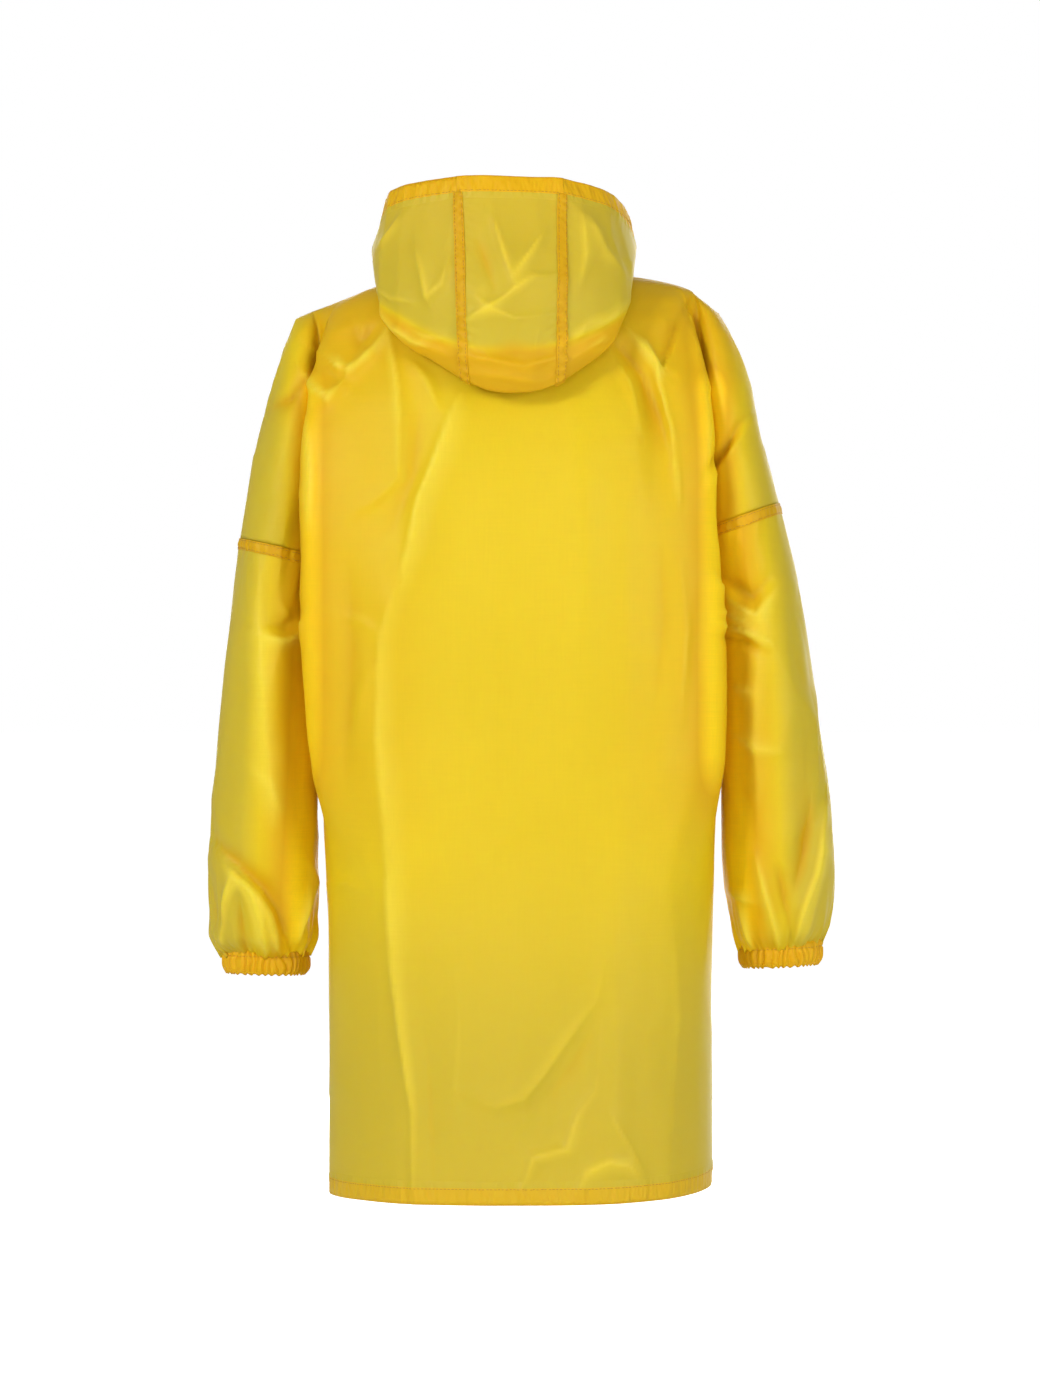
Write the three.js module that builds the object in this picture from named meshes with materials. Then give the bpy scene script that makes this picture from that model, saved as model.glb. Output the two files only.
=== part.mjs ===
// A child's raincoat with a three-panel hood, dropped shoulders and elastic cuffs, as it hangs on a figure.
// Millimetres, +Z up, the coat's back towards -Y, the wearer's left towards -X.
// The origin is the middle of the neck hole at the height of the shoulders.
import * as THREE from "three";

// Driving dimensions.
const WALL = 1.2;
const BAND_WALL = 1.0;
const CUFF_WALL = 2.0;
const SEAM_GAP = 0.3;
const HEM_Z = -800;
const HEM_FOLD = 15;
const RIM_FOLD = 15;
const SEAM_BAND = 10;
const CUFF_HEIGHT = 24;
const FRONT_OVERLAP = 28;
const LAP_STEP = 3.1;
const LAP_COLUMNS = 1.5;
const SNAP_COUNT = 5;
const SNAP_RADIUS = 6.5;
const SNAP_HEIGHT = 3;
const SNAP_SIDE = 1.2;
const SNAP_SHOULDER = 2.55;
const SNAP_SHOULDER_RADIUS = 4.55;
const SNAP_TOP_Z = -95;
const SNAP_PITCH = 120;

// Neck hole: half widths to each side of the origin, half depths, and heights.
const NECK = { left: 86, right: 72, back: 60, front: 62, backZ: -14, frontZ: -50 };

// Shoulder line from the neck hole out to the tip, as half widths and heights.
const SHOULDER = {
  left: [
    { x: 86, z: 26 },
    { x: 139, z: 8 },
    { x: 163, z: -2 },
    { x: 186, z: -11 },
    { x: 201, z: -18 },
  ],
  right: [
    { x: 72, z: 25 },
    { x: 116, z: 18 },
    { x: 149, z: 10 },
    { x: 163, z: 1 },
    { x: 179, z: -13 },
  ],
};

// Each side's own layout: where the body ends and the sleeve starts on the shoulder line, the underarm, the
// armhole seam and the hem.
const SIDE = {
  left: { sign: -1, pitX: 184, sleeveX: 187, pitZ: -232, seamOuterZ: -214, armX: 179, hemZ: -804 },
  right: { sign: 1, pitX: 151, sleeveX: 154, pitZ: -208, seamOuterZ: -182, armX: 164, hemZ: -795 },
};
const ARM_Y = 16;
const ARM_DEPTH = 72;
const SHOULDER_FULLNESS = 0.5;

// The yoke. The neck side of each panel turns down at NECK_ANGLE of its section. The slants ease the turn
// over the shoulder near the neck and near the sleeve, and the bridge fills the panel out beside the sleeve.
const NECK_ANGLE = 27;
const NECK_DIP = 1.4;
const NECK_SLANT = 0.28;
const SHOULDER_SLANT = 0.14;
const SHOULDER_SLANT_START = 0.7;
const BRIDGE_DEPTH = 52;
const BRIDGE_START = 0.8;
const ROUNDNESS = 0.8;

// Body sections by height: edge is the widest half width, side the half width at the side seam.
const BODY = {
  left: [
    { z: -190, edge: 198, side: 173 },
    { z: -232, edge: 198, side: 174 },
    { z: -303, edge: 197, side: 177 },
    { z: -363, edge: 192, side: 178.5 },
    { z: -423, edge: 187, side: 178.5 },
    { z: -483, edge: 179.5, side: 176.5 },
    { z: -540, edge: 174.5, side: 174 },
    { z: -610, edge: 172.5, side: 172.5 },
    { z: -805, edge: 172.5, side: 172.5 },
  ],
  right: [
    { z: -170, edge: 174, side: 158 },
    { z: -208, edge: 176, side: 159 },
    { z: -243, edge: 180, side: 164 },
    { z: -303, edge: 184, side: 171 },
    { z: -363, edge: 185, side: 175 },
    { z: -423, edge: 183.5, side: 176 },
    { z: -483, edge: 179, side: 176 },
    { z: -540, edge: 175, side: 174.5 },
    { z: -610, edge: 173, side: 173 },
    { z: -805, edge: 173, side: 173 },
  ],
};
const DEPTH = [
  { z: -170, back: 108, front: 104, square: 3.2 },
  { z: -230, back: 110, front: 108, square: 3.2 },
  { z: -360, back: 110, front: 112, square: 2.8 },
  { z: -500, back: 112, front: 114, square: 2.4 },
  { z: -810, back: 116, front: 118, square: 2.2 },
];

// The groove beside the sleeve: the side seam lies deeper than the widest line of the section, which is
// fitted in SECTION_ROUNDS from SECTION_SAMPLES points.
const GROOVE_WIDTH = 70;
const GROOVE_SHARPNESS = 6;
const SECTION_SAMPLES = 24;
const SECTION_ROUNDS = 6;

// Outline of the upper arm from the shoulder tip to the armhole seam.
const UPPER_ARM = {
  left: [
    { z: -18, x: 201 },
    { z: -45, x: 212.5 },
    { z: -72, x: 222 },
    { z: -100, x: 230 },
    { z: -135, x: 238.5 },
    { z: -175, x: 246.5 },
    { z: -214, x: 253.5 },
  ],
  right: [
    { z: -13, x: 179 },
    { z: -45, x: 196 },
    { z: -72, x: 206 },
    { z: -99, x: 213 },
    { z: -135, x: 222 },
    { z: -182, x: 234 },
  ],
};

// Sleeve sections by height on the arm's outside.
const SLEEVE = {
  left: [
    { z: -214, outer: 253.5, inner: 179, middleY: 16, depth: 72 },
    { z: -300, outer: 264.5, inner: 184, middleY: 18, depth: 70 },
    { z: -360, outer: 271, inner: 185, middleY: 20, depth: 67 },
    { z: -423, outer: 277.5, inner: 184.5, middleY: 22, depth: 64 },
    { z: -483, outer: 281.5, inner: 182.5, middleY: 25, depth: 61 },
    { z: -535, outer: 283.5, inner: 184, middleY: 27, depth: 57 },
    { z: -558, outer: 281.5, inner: 187, middleY: 28, depth: 52 },
    { z: -574, outer: 279.5, inner: 187, middleY: 28, depth: 43 },
    { z: -585, outer: 269.5, inner: 192.5, middleY: 28, depth: 29 },
  ],
  right: [
    { z: -182, outer: 234, inner: 164, middleY: 16, depth: 72 },
    { z: -243, outer: 247.5, inner: 173, middleY: 17, depth: 72 },
    { z: -300, outer: 258, inner: 178, middleY: 18, depth: 70 },
    { z: -360, outer: 269, inner: 181, middleY: 20, depth: 67 },
    { z: -423, outer: 278.5, inner: 181.5, middleY: 23, depth: 64 },
    { z: -483, outer: 282.5, inner: 181.5, middleY: 25, depth: 61 },
    { z: -525, outer: 283, inner: 186, middleY: 27, depth: 57 },
    { z: -550, outer: 280.5, inner: 192, middleY: 28, depth: 52 },
    { z: -566, outer: 277, inner: 196, middleY: 28, depth: 43 },
    { z: -578, outer: 273, inner: 200, middleY: 28, depth: 29 },
  ],
};
const CUFF = {
  left: { x: 231, z: -586, halfWidth: 37.5, halfDepth: 28.5, tilt: -0.02 },
  right: { x: 236.5, z: -579, halfWidth: 36, halfDepth: 28.5, tilt: -0.05 },
};
const GATHER_COUNT = 24;
const SLEEVE_GATHERS = 12;
const GATHER_DEPTH = 1.6;
const CUFF_TOP_WAVE = 0.7;
const CUFF_EDGE_WAVE = 1.2;
const CUFF_WAIST = 1.2;
const SLEEVE_GATHER_DEPTH = 3;
const GATHER_REACH = 70;

// Shares of the sleeve's length: where its rows are level, where its folds are full and where the gathers
// start.
const SLEEVE_LEVEL = 0.5;
const SLEEVE_FOLD_START = 0.125;
const SLEEVE_GATHER_START = 0.8;

// The largest folds: ridges have a height above 0 and troughs below. Each runs along its path, with a width,
// and fades over the FOLD_FADE share of its length at both ends.
const FOLD_FADE = 0.12;
const BACK_FOLDS = [
  {
    height: 9,
    width: 18,
    path: [
      { x: -58, z: -112 }, { x: -94, z: -205 }, { x: -124, z: -300 }, { x: -127, z: -412 },
      { x: -120, z: -533 }, { x: -96, z: -806 },
    ],
  },
  {
    height: -15,
    width: 15,
    path: [
      { x: 78, z: -34 }, { x: 112, z: -72 }, { x: 128, z: -118 }, { x: 133, z: -190 },
    ],
  },
  { height: -12, width: 14, path: [{ x: 148, z: -14 }, { x: 136, z: -44 }, { x: 124, z: -66 }] },
  { height: -11, width: 15, path: [{ x: -176, z: -40 }, { x: -150, z: -72 }, { x: -124, z: -40 }] },
  { height: 8, width: 16, path: [{ x: 54, z: -100 }, { x: 62, z: -250 }, { x: 60, z: -400 }] },
  { height: 7, width: 18, path: [{ x: -20, z: -110 }, { x: -22, z: -260 }, { x: -34, z: -420 }] },
  { height: -8, width: 22, path: [{ x: 66, z: -600 }, { x: 40, z: -700 }, { x: 8, z: -790 }] },
  { height: 6, width: 20, path: [{ x: 96, z: -480 }, { x: 86, z: -640 }, { x: 92, z: -806 }] },
  { height: 5, width: 18, path: [{ x: 140, z: -280 }, { x: 138, z: -480 }, { x: 130, z: -806 }] },
];
const FRONT_FOLDS = [
  { height: 7, width: 20, path: [{ x: -96, z: -110 }, { x: -108, z: -300 }, { x: -100, z: -806 }] },
  { height: 7, width: 20, path: [{ x: 90, z: -110 }, { x: 104, z: -320 }, { x: 96, z: -806 }] },
  { height: -5, width: 18, path: [{ x: 62, z: -420 }, { x: 58, z: -806 }] },
  { height: -5, width: 18, path: [{ x: -66, z: -400 }, { x: -60, z: -806 }] },
];
const SLEEVE_FOLDS = [
  { height: -7, width: 17, path: [{ x: -262, z: -488 }, { x: -230, z: -524 }, { x: -200, z: -560 }] },
  { height: 5, width: 16, path: [{ x: -244, z: -270 }, { x: -226, z: -340 }, { x: -240, z: -440 }] },
  { height: -6, width: 16, path: [{ x: -200, z: -250 }, { x: -232, z: -296 }] },
  { height: -7, width: 17, path: [{ x: 274, z: -440 }, { x: 252, z: -510 }, { x: 240, z: -560 }] },
  { height: -6, width: 14, path: [{ x: 184, z: -278 }, { x: 230, z: -252 }] },
  { height: -5, width: 14, path: [{ x: 184, z: -300 }, { x: 224, z: -312 }] },
];

// Hood stations by turn from the middle of the back, in degrees, the wearer's left below 0.
// roll is the lowest line of the slack that hangs over the back, belly the fullest, rim the face edge.
const HOOD = {
  roll: [
    { turn: -166, x: -22, y: 68, z: -36 },
    { turn: -130, x: -80, y: 43, z: 4 },
    { turn: -90, x: -126, y: -4, z: 27 },
    { turn: -74, x: -125, y: -50, z: 2 },
    { turn: -58, x: -112, y: -88, z: -40 },
    { turn: -26, x: -47, y: -121, z: -84 },
    { turn: 0, x: -6, y: -126, z: -96 },
    { turn: 22, x: 35, y: -121, z: -86 },
    { turn: 55, x: 88, y: -92, z: -40 },
    { turn: 72, x: 95, y: -50, z: 2 },
    { turn: 90, x: 98, y: -4, z: 31 },
    { turn: 130, x: 66, y: 43, z: 4 },
    { turn: 166, x: 22, y: 66, z: -36 },
  ],
  belly: [
    { turn: -166, x: -24, y: 72, z: -26 },
    { turn: -130, x: -88, y: 46, z: 20 },
    { turn: -90, x: -134, y: -8, z: 42 },
    { turn: -74, x: -130, y: -52, z: 26 },
    { turn: -58, x: -116, y: -90, z: 8 },
    { turn: -26, x: -51, y: -132, z: -8 },
    { turn: 0, x: -6, y: -139, z: -14 },
    { turn: 22, x: 37, y: -130, z: -8 },
    { turn: 55, x: 94, y: -88, z: 8 },
    { turn: 72, x: 102, y: -50, z: 27 },
    { turn: 90, x: 105, y: -8, z: 45 },
    { turn: 130, x: 73, y: 46, z: 20 },
    { turn: 166, x: 24, y: 70, z: -26 },
  ],
  rim: [
    { turn: -166, x: -26, y: 76, z: -16 },
    { turn: -130, x: -88, y: 46, z: 36 },
    { turn: -90, x: -122, y: -14, z: 76 },
    { turn: -74, x: -119, y: -44, z: 86 },
    { turn: -58, x: -109, y: -70, z: 92 },
    { turn: -26, x: -54, y: -101, z: 97 },
    { turn: 0, x: -8, y: -108, z: 97 },
    { turn: 22, x: 37, y: -102, z: 96 },
    { turn: 55, x: 77, y: -70, z: 89 },
    { turn: 72, x: 90, y: -43, z: 83 },
    { turn: 90, x: 100, y: -14, z: 70 },
    { turn: 130, x: 74, y: 46, z: 36 },
    { turn: 166, x: 26, y: 74, z: -16 },
  ],
};
const HOOD_SEAM_TURN = { left: -26, right: 22 };
const HOOD_END_TURN = 166;
const HOOD_RISE = 7;
const HOOD_SLACK = 11;
const HOOD_SLACK_TURN = 60;
const HOOD_LEAN = 3;
const HOOD_ARCH = 4.4;
const HOOD_SEAM_REACH = 124;
const HOOD_SEAM_START = 0.3;
const HOOD_SEAM_GAP = 0.75;

// Grid counts.
const NECK_CELLS = 4;
const SHOULDER_CELLS = 6;
const NECK_SHARE = NECK_CELLS / (NECK_CELLS + SHOULDER_CELLS);
const ARM_CELLS = 9;
const YOKE_ROWS = 8;
const SKIRT_ROWS = 11;
const SLEEVE_COLUMNS = 4 * ARM_CELLS;
const SLEEVE_ROWS = 10;
const GATHER_ROWS = 5;
const CUFF_SAMPLES = 3;
const HOOD_FRONT_CELLS = 6;
const HOOD_SIDE_CELLS = 5;
const HOOD_MIDDLE_CELLS = 4;
const SNAP_SEGMENTS = 12;

const RAINCOAT_YELLOW = 0xf2cc2a;
const SEAM_YELLOW = 0xf5b915;

// Small helpers.
const lerp = (a, b, t) => a + (b - a) * t;
const smooth = (t) => t * t * (3 - 2 * t);
const clamp01 = (t) => Math.min(1, Math.max(0, t));
const evenly = (from, to, cells) => Array.from({ length: cells + 1 }, (_, k) => lerp(from, to, k / cells));

// A cubic that rises over t = 0 to 1 with a slope at its start and its end.
const cubic = (from, rise, start, end, t) =>
  from + start * t + (3 * rise - 2 * start - end) * t * t + (start + end - 2 * rise) * t * t * t;

// Reads one column of a table, smoothly between its rows, which are sorted by the key either way.
function tableAt(table, key, at, column) {
  const way = Math.sign(table[table.length - 1][key] - table[0][key]);
  const last = table.length - 1;
  let k = 0;
  while (k < last - 1 && (at - table[k + 1][key]) * way > 0) k += 1;
  const span = table[k + 1][key] - table[k][key];
  const t = clamp01((at - table[k][key]) / span);
  const slope = (n) => {
    const low = Math.max(0, n - 1);
    const high = Math.min(last, n + 1);
    return (table[high][column] - table[low][column]) / (table[high][key] - table[low][key]);
  };
  const rise = table[k + 1][column] - table[k][column];
  return cubic(table[k][column], rise, slope(k) * span, slope(k + 1) * span, t);
}

// A point on a smooth curve through a list of vectors.
function curveAt(points, t) {
  const spans = points.length - 1;
  const k = Math.min(spans - 1, Math.floor(t * spans));
  const f = t * spans - k;
  const pick = (n) => points[Math.min(spans, Math.max(0, n))];
  const [before, here, next, after] = [k - 1, k, k + 1, k + 2].map(pick);
  const bend = (axis) => {
    const start = (next[axis] - before[axis]) / 2;
    const end = (after[axis] - here[axis]) / 2;
    return cubic(here[axis], next[axis] - here[axis], start, end, f);
  };
  return new THREE.Vector3(bend("x"), bend("y"), bend("z"));
}

// How far a panel stands out at a place, from the folds that pass near it.
function foldHeight(folds, x, z) {
  let total = 0;
  for (const fold of folds) {
    let nearest = Infinity;
    let along = 0;
    const spans = fold.path.length - 1;
    for (let k = 0; k < spans; k += 1) {
      const [from, to] = [fold.path[k], fold.path[k + 1]];
      const dx = to.x - from.x;
      const dz = to.z - from.z;
      const t = clamp01(((x - from.x) * dx + (z - from.z) * dz) / (dx * dx + dz * dz));
      const distance = Math.hypot(x - from.x - t * dx, z - from.z - t * dz);
      if (distance < nearest) [nearest, along] = [distance, (k + t) / spans];
    }
    const fade = Math.sin(Math.PI * lerp(FOLD_FADE, 1 - FOLD_FADE, along));
    total += fold.height * fade * Math.exp(-((nearest / fold.width) ** 2));
  }
  return total;
}

// A closed wall from a grid of middle points. Columns run anticlockwise seen from above and rows run down.
// keep picks the cells that are built and shape the cells that give the wall its direction at each point.
// settle may turn that direction at an edge, so that two pieces meet there squarely.
function clothWall({ columns, rows, closed, keep, shape, settle, point, thickness = WALL, shift = 0 }) {
  const isKept = keep ?? (() => true);
  const isShape = shape ?? isKept;
  const across = closed ? columns : columns + 1;
  const middle = [];
  for (let j = 0; j <= rows; j += 1) for (let i = 0; i < across; i += 1) middle.push(point(i, j));
  const at = (i, j) => j * across + (i % across);
  const facesWhere = (isPicked) => {
    const picked = [];
    for (let j = 0; j < rows; j += 1)
      for (let i = 0; i < columns; i += 1) {
        if (!isPicked(i, j)) continue;
        const [a, b, c, d] = [at(i, j), at(i, j + 1), at(i + 1, j), at(i + 1, j + 1)];
        picked.push([a, b, c], [c, b, d]);
      }
    return picked;
  };
  const normals = middle.map(() => new THREE.Vector3());
  for (const face of facesWhere(isShape)) {
    const [p, q, r] = face.map((n) => middle[n]);
    const normal = q.clone().sub(p).cross(r.clone().sub(p));
    for (const n of face) normals[n].add(normal);
  }
  const faces = facesWhere(isKept);
  const used = new Set(faces.flat());
  const open = new Map();
  for (const face of faces)
    face.forEach((n, k) => {
      const next = face[(k + 1) % 3];
      if (!open.delete(`${next}>${n}`)) open.set(`${n}>${next}`, [n, next]);
    });
  const place = new Map();
  const positions = [];
  for (const n of used) {
    place.set(n, positions.length / 3);
    const normal = normals[n].normalize();
    if (settle) settle(n % across, Math.floor(n / across), normal);
    normal.normalize();
    for (const offset of [shift + thickness / 2, shift - thickness / 2])
      positions.push(...middle[n].clone().addScaledVector(normal, offset).toArray());
  }
  const outer = (n) => place.get(n);
  const inner = (n) => place.get(n) + 1;
  const index = [];
  for (const [a, b, c] of faces) index.push(outer(a), outer(b), outer(c), inner(a), inner(c), inner(b));
  for (const [a, b] of open.values()) index.push(outer(b), outer(a), inner(a), outer(b), inner(a), inner(b));
  const geometry = new THREE.BufferGeometry();
  geometry.setAttribute("position", new THREE.Float32BufferAttribute(positions, 3));
  geometry.setIndex(index);
  geometry.computeVertexNormals();
  return geometry;
}

// The neck hole's edge at a turn from the middle of the back.
function neckPoint(turn) {
  const angle = THREE.MathUtils.degToRad(turn);
  const halfWidth = turn < 0 ? NECK.left : NECK.right;
  const sideZ = SHOULDER[turn < 0 ? "left" : "right"][0].z;
  const towardsBack = Math.cos(angle);
  const halfDepth = towardsBack > 0 ? NECK.back : NECK.front;
  const middleZ = towardsBack > 0 ? NECK.backZ : NECK.frontZ;
  const z = lerp(sideZ, middleZ, Math.abs(towardsBack) ** NECK_DIP);
  return new THREE.Vector3(halfWidth * Math.sin(angle), -halfDepth * towardsBack, z);
}

// A quarter turn over the shoulder: how far a row has gone out and down.
const goneOut = (v) => Math.sin((v * Math.PI) / 2) ** ROUNDNESS;
const goneDown = (v) => 1 - Math.cos((v * Math.PI) / 2) ** ROUNDNESS;

// The neck hole's edge as the body's panels have it, in straight steps and with the lap's step on the left.
function neckEdge(turn) {
  const step = 90 / NECK_CELLS;
  const k = Math.floor(turn / step);
  const corner = (n) => {
    const p = neckPoint(n * step);
    if (n * step < LAP_COLUMNS * step - 180) p.y += LAP_STEP;
    return p;
  };
  return corner(k).lerp(corner(k + 1), turn / step - k);
}

// How far the panels stand out beside the sleeve on their way down to the underarm.
const bridgeAt = (face, v) => face * BRIDGE_DEPTH * goneOut(v) * (1 - v ** 4);

// The body's section at a height, from the middle (angle 0) to the side seam (angle 90 degrees).
function bodySection(side, face, angle, z) {
  const row = (column) => tableAt(BODY[side], "z", z, column);
  const edge = row("edge");
  const seamX = row("side");
  const square = 2 / tableAt(DEPTH, "z", z, "square");
  const depth = tableAt(DEPTH, "z", z, face < 0 ? "back" : "front");
  const yAt = (turn) => (depth * face - ARM_Y) * Math.cos(turn) ** square;
  const reachAt = (turn) => (Math.abs(yAt(turn)) / GROOVE_WIDTH) ** GROOVE_SHARPNESS;
  const grooveAt = (turn) => Math.sin(turn) ** 2 / (1 + reachAt(turn));
  const xAt = (turn, full) => full * Math.sin(turn) ** square - (full - seamX) * grooveAt(turn);
  const turns = evenly(0, Math.PI / 2, SECTION_SAMPLES);
  let full = edge;
  for (let k = 0; k < SECTION_ROUNDS; k += 1)
    full += edge - Math.max(...turns.map((turn) => xAt(turn, full)));
  return new THREE.Vector3(SIDE[side].sign * xAt(angle, full), yAt(angle) + ARM_Y, z);
}

// A point of the body panels. q runs from the middle line (0) to the side seam (1), v over the yoke (0 to 1)
// and down the skirt (1 to 2).
function torsoPoint(side, face, q, v) {
  const layout = SIDE[side];
  const neckAngle = THREE.MathUtils.degToRad(NECK_ANGLE);
  const rightAngle = Math.PI / 2;
  const pastNeck = (q - NECK_SHARE) / (1 - NECK_SHARE);
  const yokeAngle = pastNeck < 0 ? (q / NECK_SHARE) * neckAngle : lerp(neckAngle, rightAngle, pastNeck);
  const level = clamp01(v - 1);
  const angle = Math.min(rightAngle, lerp(yokeAngle, q * rightAngle, smooth(level)));
  const pitDrop = smooth(clamp01(q));
  const splitZ = lerp((SIDE.left.pitZ + SIDE.right.pitZ) / 2, layout.pitZ, pitDrop);
  const z = lerp(splitZ, lerp(HEM_Z, layout.hemZ, q ** 2), level);
  const low = bodySection(side, face, angle, z);
  if (v >= 1) return low;
  let top;
  if (pastNeck < 0) {
    const turn = face < 0 ? (q / NECK_SHARE) * 90 : 180 - (q / NECK_SHARE) * 90;
    top = neckPoint(layout.sign * turn);
  } else {
    const x = lerp(SHOULDER[side][0].x, layout.pitX, pastNeck);
    top = new THREE.Vector3(layout.sign * x, 0, tableAt(SHOULDER[side], "x", x, "z"));
  }
  const bridge = bridgeAt(face, v) * smooth(clamp01((q - BRIDGE_START) / (1 - BRIDGE_START)));
  const neckSlant = NECK_SLANT * (1 - smooth(clamp01(q / (2 * NECK_SHARE))));
  const outerShare = smooth(clamp01((q - SHOULDER_SLANT_START) / (1 - SHOULDER_SLANT_START)));
  const slant = neckSlant + SHOULDER_SLANT * (1 - outerShare);
  return new THREE.Vector3(
    lerp(top.x, low.x, goneOut(v)),
    lerp(top.y, low.y, goneOut(v)) + bridge,
    lerp(top.z, low.z, lerp(goneDown(v), v, slant)),
  );
}

// A point of the dropped shoulder. r runs from the underarm (0) over the back or front of the arm to its
// outside (1).
function shoulderPoint(side, face, r, v) {
  const layout = SIDE[side];
  const startX = layout.sleeveX;
  const pit = new THREE.Vector3(
    lerp(startX, layout.armX, goneOut(v)),
    ARM_Y * goneOut(v) + bridgeAt(face, v),
    lerp(tableAt(SHOULDER[side], "x", startX, "z"), layout.pitZ, goneDown(v)),
  );
  const outerZ = lerp(UPPER_ARM[side][0].z, layout.seamOuterZ, goneDown(v));
  const outer = new THREE.Vector3(tableAt(UPPER_ARM[side], "z", outerZ, "x"), ARM_Y * goneDown(v), outerZ);
  const round = (1 - Math.cos(Math.PI * r)) / 2;
  const belly = ARM_DEPTH * goneOut(v) * lerp(SHOULDER_FULLNESS, 1, v * v) * Math.sin(Math.PI * r);
  return new THREE.Vector3(
    layout.sign * lerp(pit.x, outer.x, round),
    lerp(pit.y, outer.y, r) + face * belly,
    lerp(pit.z, outer.z, round),
  );
}

// One half of a body panel as a list of columns, from the middle line to the outside of the arm.
function halfColumns(side) {
  const torso = evenly(0, 1, NECK_CELLS + SHOULDER_CELLS).map((q) => ({ side, q }));
  const arm = evenly(0, 1, ARM_CELLS).map((r) => ({ side, r }));
  return [...torso, ...arm];
}

const foldV = 2 + HEM_FOLD / (HEM_Z - (SIDE.left.pitZ + SIDE.right.pitZ) / 2);
const bodyRows = [...evenly(0, 1, YOKE_ROWS), ...evenly(1, foldV, SKIRT_ROWS).slice(1), 2];

// A body panel's middle point with its folds, kept half a gap clear of the seams to the other face.
function bodyPoint(face, column, v) {
  const { side, q, r } = column;
  const p = q === undefined ? shoulderPoint(side, face, r, v) : torsoPoint(side, face, q, v);
  const folds = foldHeight(face < 0 ? BACK_FOLDS : FRONT_FOLDS, p.x, p.z);
  const clearOfSeam = clamp01(Math.abs(p.y - ARM_Y) / GROOVE_WIDTH) * clamp01(v * YOKE_ROWS - 0.5);
  p.y += face * (SEAM_GAP / 2 + folds * clearOfSeam);
  return p;
}

// The body's walls below the underarm keep only the columns of the torso.
const keepBody = (columns) => (i, j) => j < YOKE_ROWS || ("q" in columns[i] && "q" in columns[i + 1]);

function backColumns() {
  return [...halfColumns("left").reverse(), ...halfColumns("right").slice(1)];
}

// A front's columns run anticlockwise. The lap column past the middle line carries the overlap.
function frontColumns(side) {
  const half = halfColumns(side);
  const lap = { side, q: 0, lap: FRONT_OVERLAP / 2 };
  return side === "left" ? [lap, ...half] : [...half.reverse(), lap];
}

function frontPoint(column, v) {
  const p = bodyPoint(1, column, v);
  const firstCell = 1 / (NECK_CELLS + SHOULDER_CELLS);
  if (column.lap) {
    const next = bodyPoint(1, { side: column.side === "left" ? "right" : "left", q: firstCell }, v);
    p.lerp(next, column.lap / Math.abs(next.x));
  }
  if (column.side === "left" && column.q < LAP_COLUMNS * firstCell) p.y += LAP_STEP;
  return p;
}

const isLapEdge = (column) => "lap" in column;

function panelWall(face, columns) {
  const pointAt = face < 0 ? (column, v) => bodyPoint(-1, column, v) : frontPoint;
  return clothWall({
    columns: columns.length - 1,
    rows: bodyRows.length - 1,
    keep: keepBody(columns),
    point: (i, j) => pointAt(columns[i], bodyRows[j]),
    settle: (i, j, normal) => {
      const column = columns[i];
      if (isLapEdge(column)) normal.x = 0;
      const onShoulder = j === 0 && ("r" in column || column.q >= NECK_SHARE);
      const onUnderarm = (column.q === 1 && j >= YOKE_ROWS) || (column.r === 0 && j === YOKE_ROWS);
      const onSide = column.r === 1 || onUnderarm;
      if (onShoulder || onSide) normal.y = 0;
      if ("r" in column && j === YOKE_ROWS) normal.z = 0;
    },
  });
}

// The turned-up hem, inside the bottom of a panel and made from the panel's own points.
function hemFold(face, columns) {
  const torso = columns.filter((column) => "q" in column);
  const rows = bodyRows.slice(-3);
  const pointAt = face < 0 ? (column, v) => bodyPoint(-1, column, v) : frontPoint;
  return clothWall({
    columns: torso.length - 1,
    rows: 2,
    keep: (i, j) => j === 1,
    shape: () => true,
    point: (i, j) => pointAt(torso[i], rows[j]),
    settle: (i, j, normal) => {
      if (torso[i].q === 1) normal.y = 0;
      if (isLapEdge(torso[i])) normal.x = 0;
    },
    thickness: BAND_WALL,
    shift: -(WALL + BAND_WALL) / 2 - SEAM_GAP,
  });
}

// A point of a sleeve. turn runs round it anticlockwise from the outside, drop from the armhole seam (0) to
// the cuff (1).
function sleevePoint(side, turn, drop) {
  const rows = SLEEVE[side];
  const layout = SIDE[side];
  const last = rows[rows.length - 1];
  const tableZ = lerp(rows[0].z, last.z, drop);
  const [outer, inner, middleY, depth] = ["outer", "inner", "middleY", "depth"].map((column) =>
    tableAt(rows, "z", tableZ, column),
  );
  const angle = turn * 2 * Math.PI;
  const along = Math.cos(angle);
  const gathered = Math.max(0, 1 - (tableZ - last.z) / GATHER_REACH);
  const wave = 1 + (SLEEVE_GATHER_DEPTH * gathered ** 2 * Math.cos(SLEEVE_GATHERS * angle)) / depth;
  const halfWidth = (outer - inner) / 2;
  const slant = lerp(layout.pitZ, layout.seamOuterZ, (1 + along) / 2) - layout.seamOuterZ;
  const levelled = smooth(Math.min(1, drop / SLEEVE_LEVEL));
  const z = tableZ + slant * (1 - levelled) + cuffTilt(side, along, smooth(drop));
  const x = layout.sign * ((outer + inner) / 2 + halfWidth * along * wave);
  const across = layout.sign * Math.sin(angle);
  const fold = foldHeight(SLEEVE_FOLDS, x, z) * smooth(Math.min(1, drop / SLEEVE_FOLD_START)) * across;
  return new THREE.Vector3(x, middleY + depth * across * wave + fold, z);
}

function cuffTilt(side, along, share) {
  return CUFF[side].tilt * CUFF[side].halfWidth * along * share * -SIDE[side].sign;
}

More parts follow.
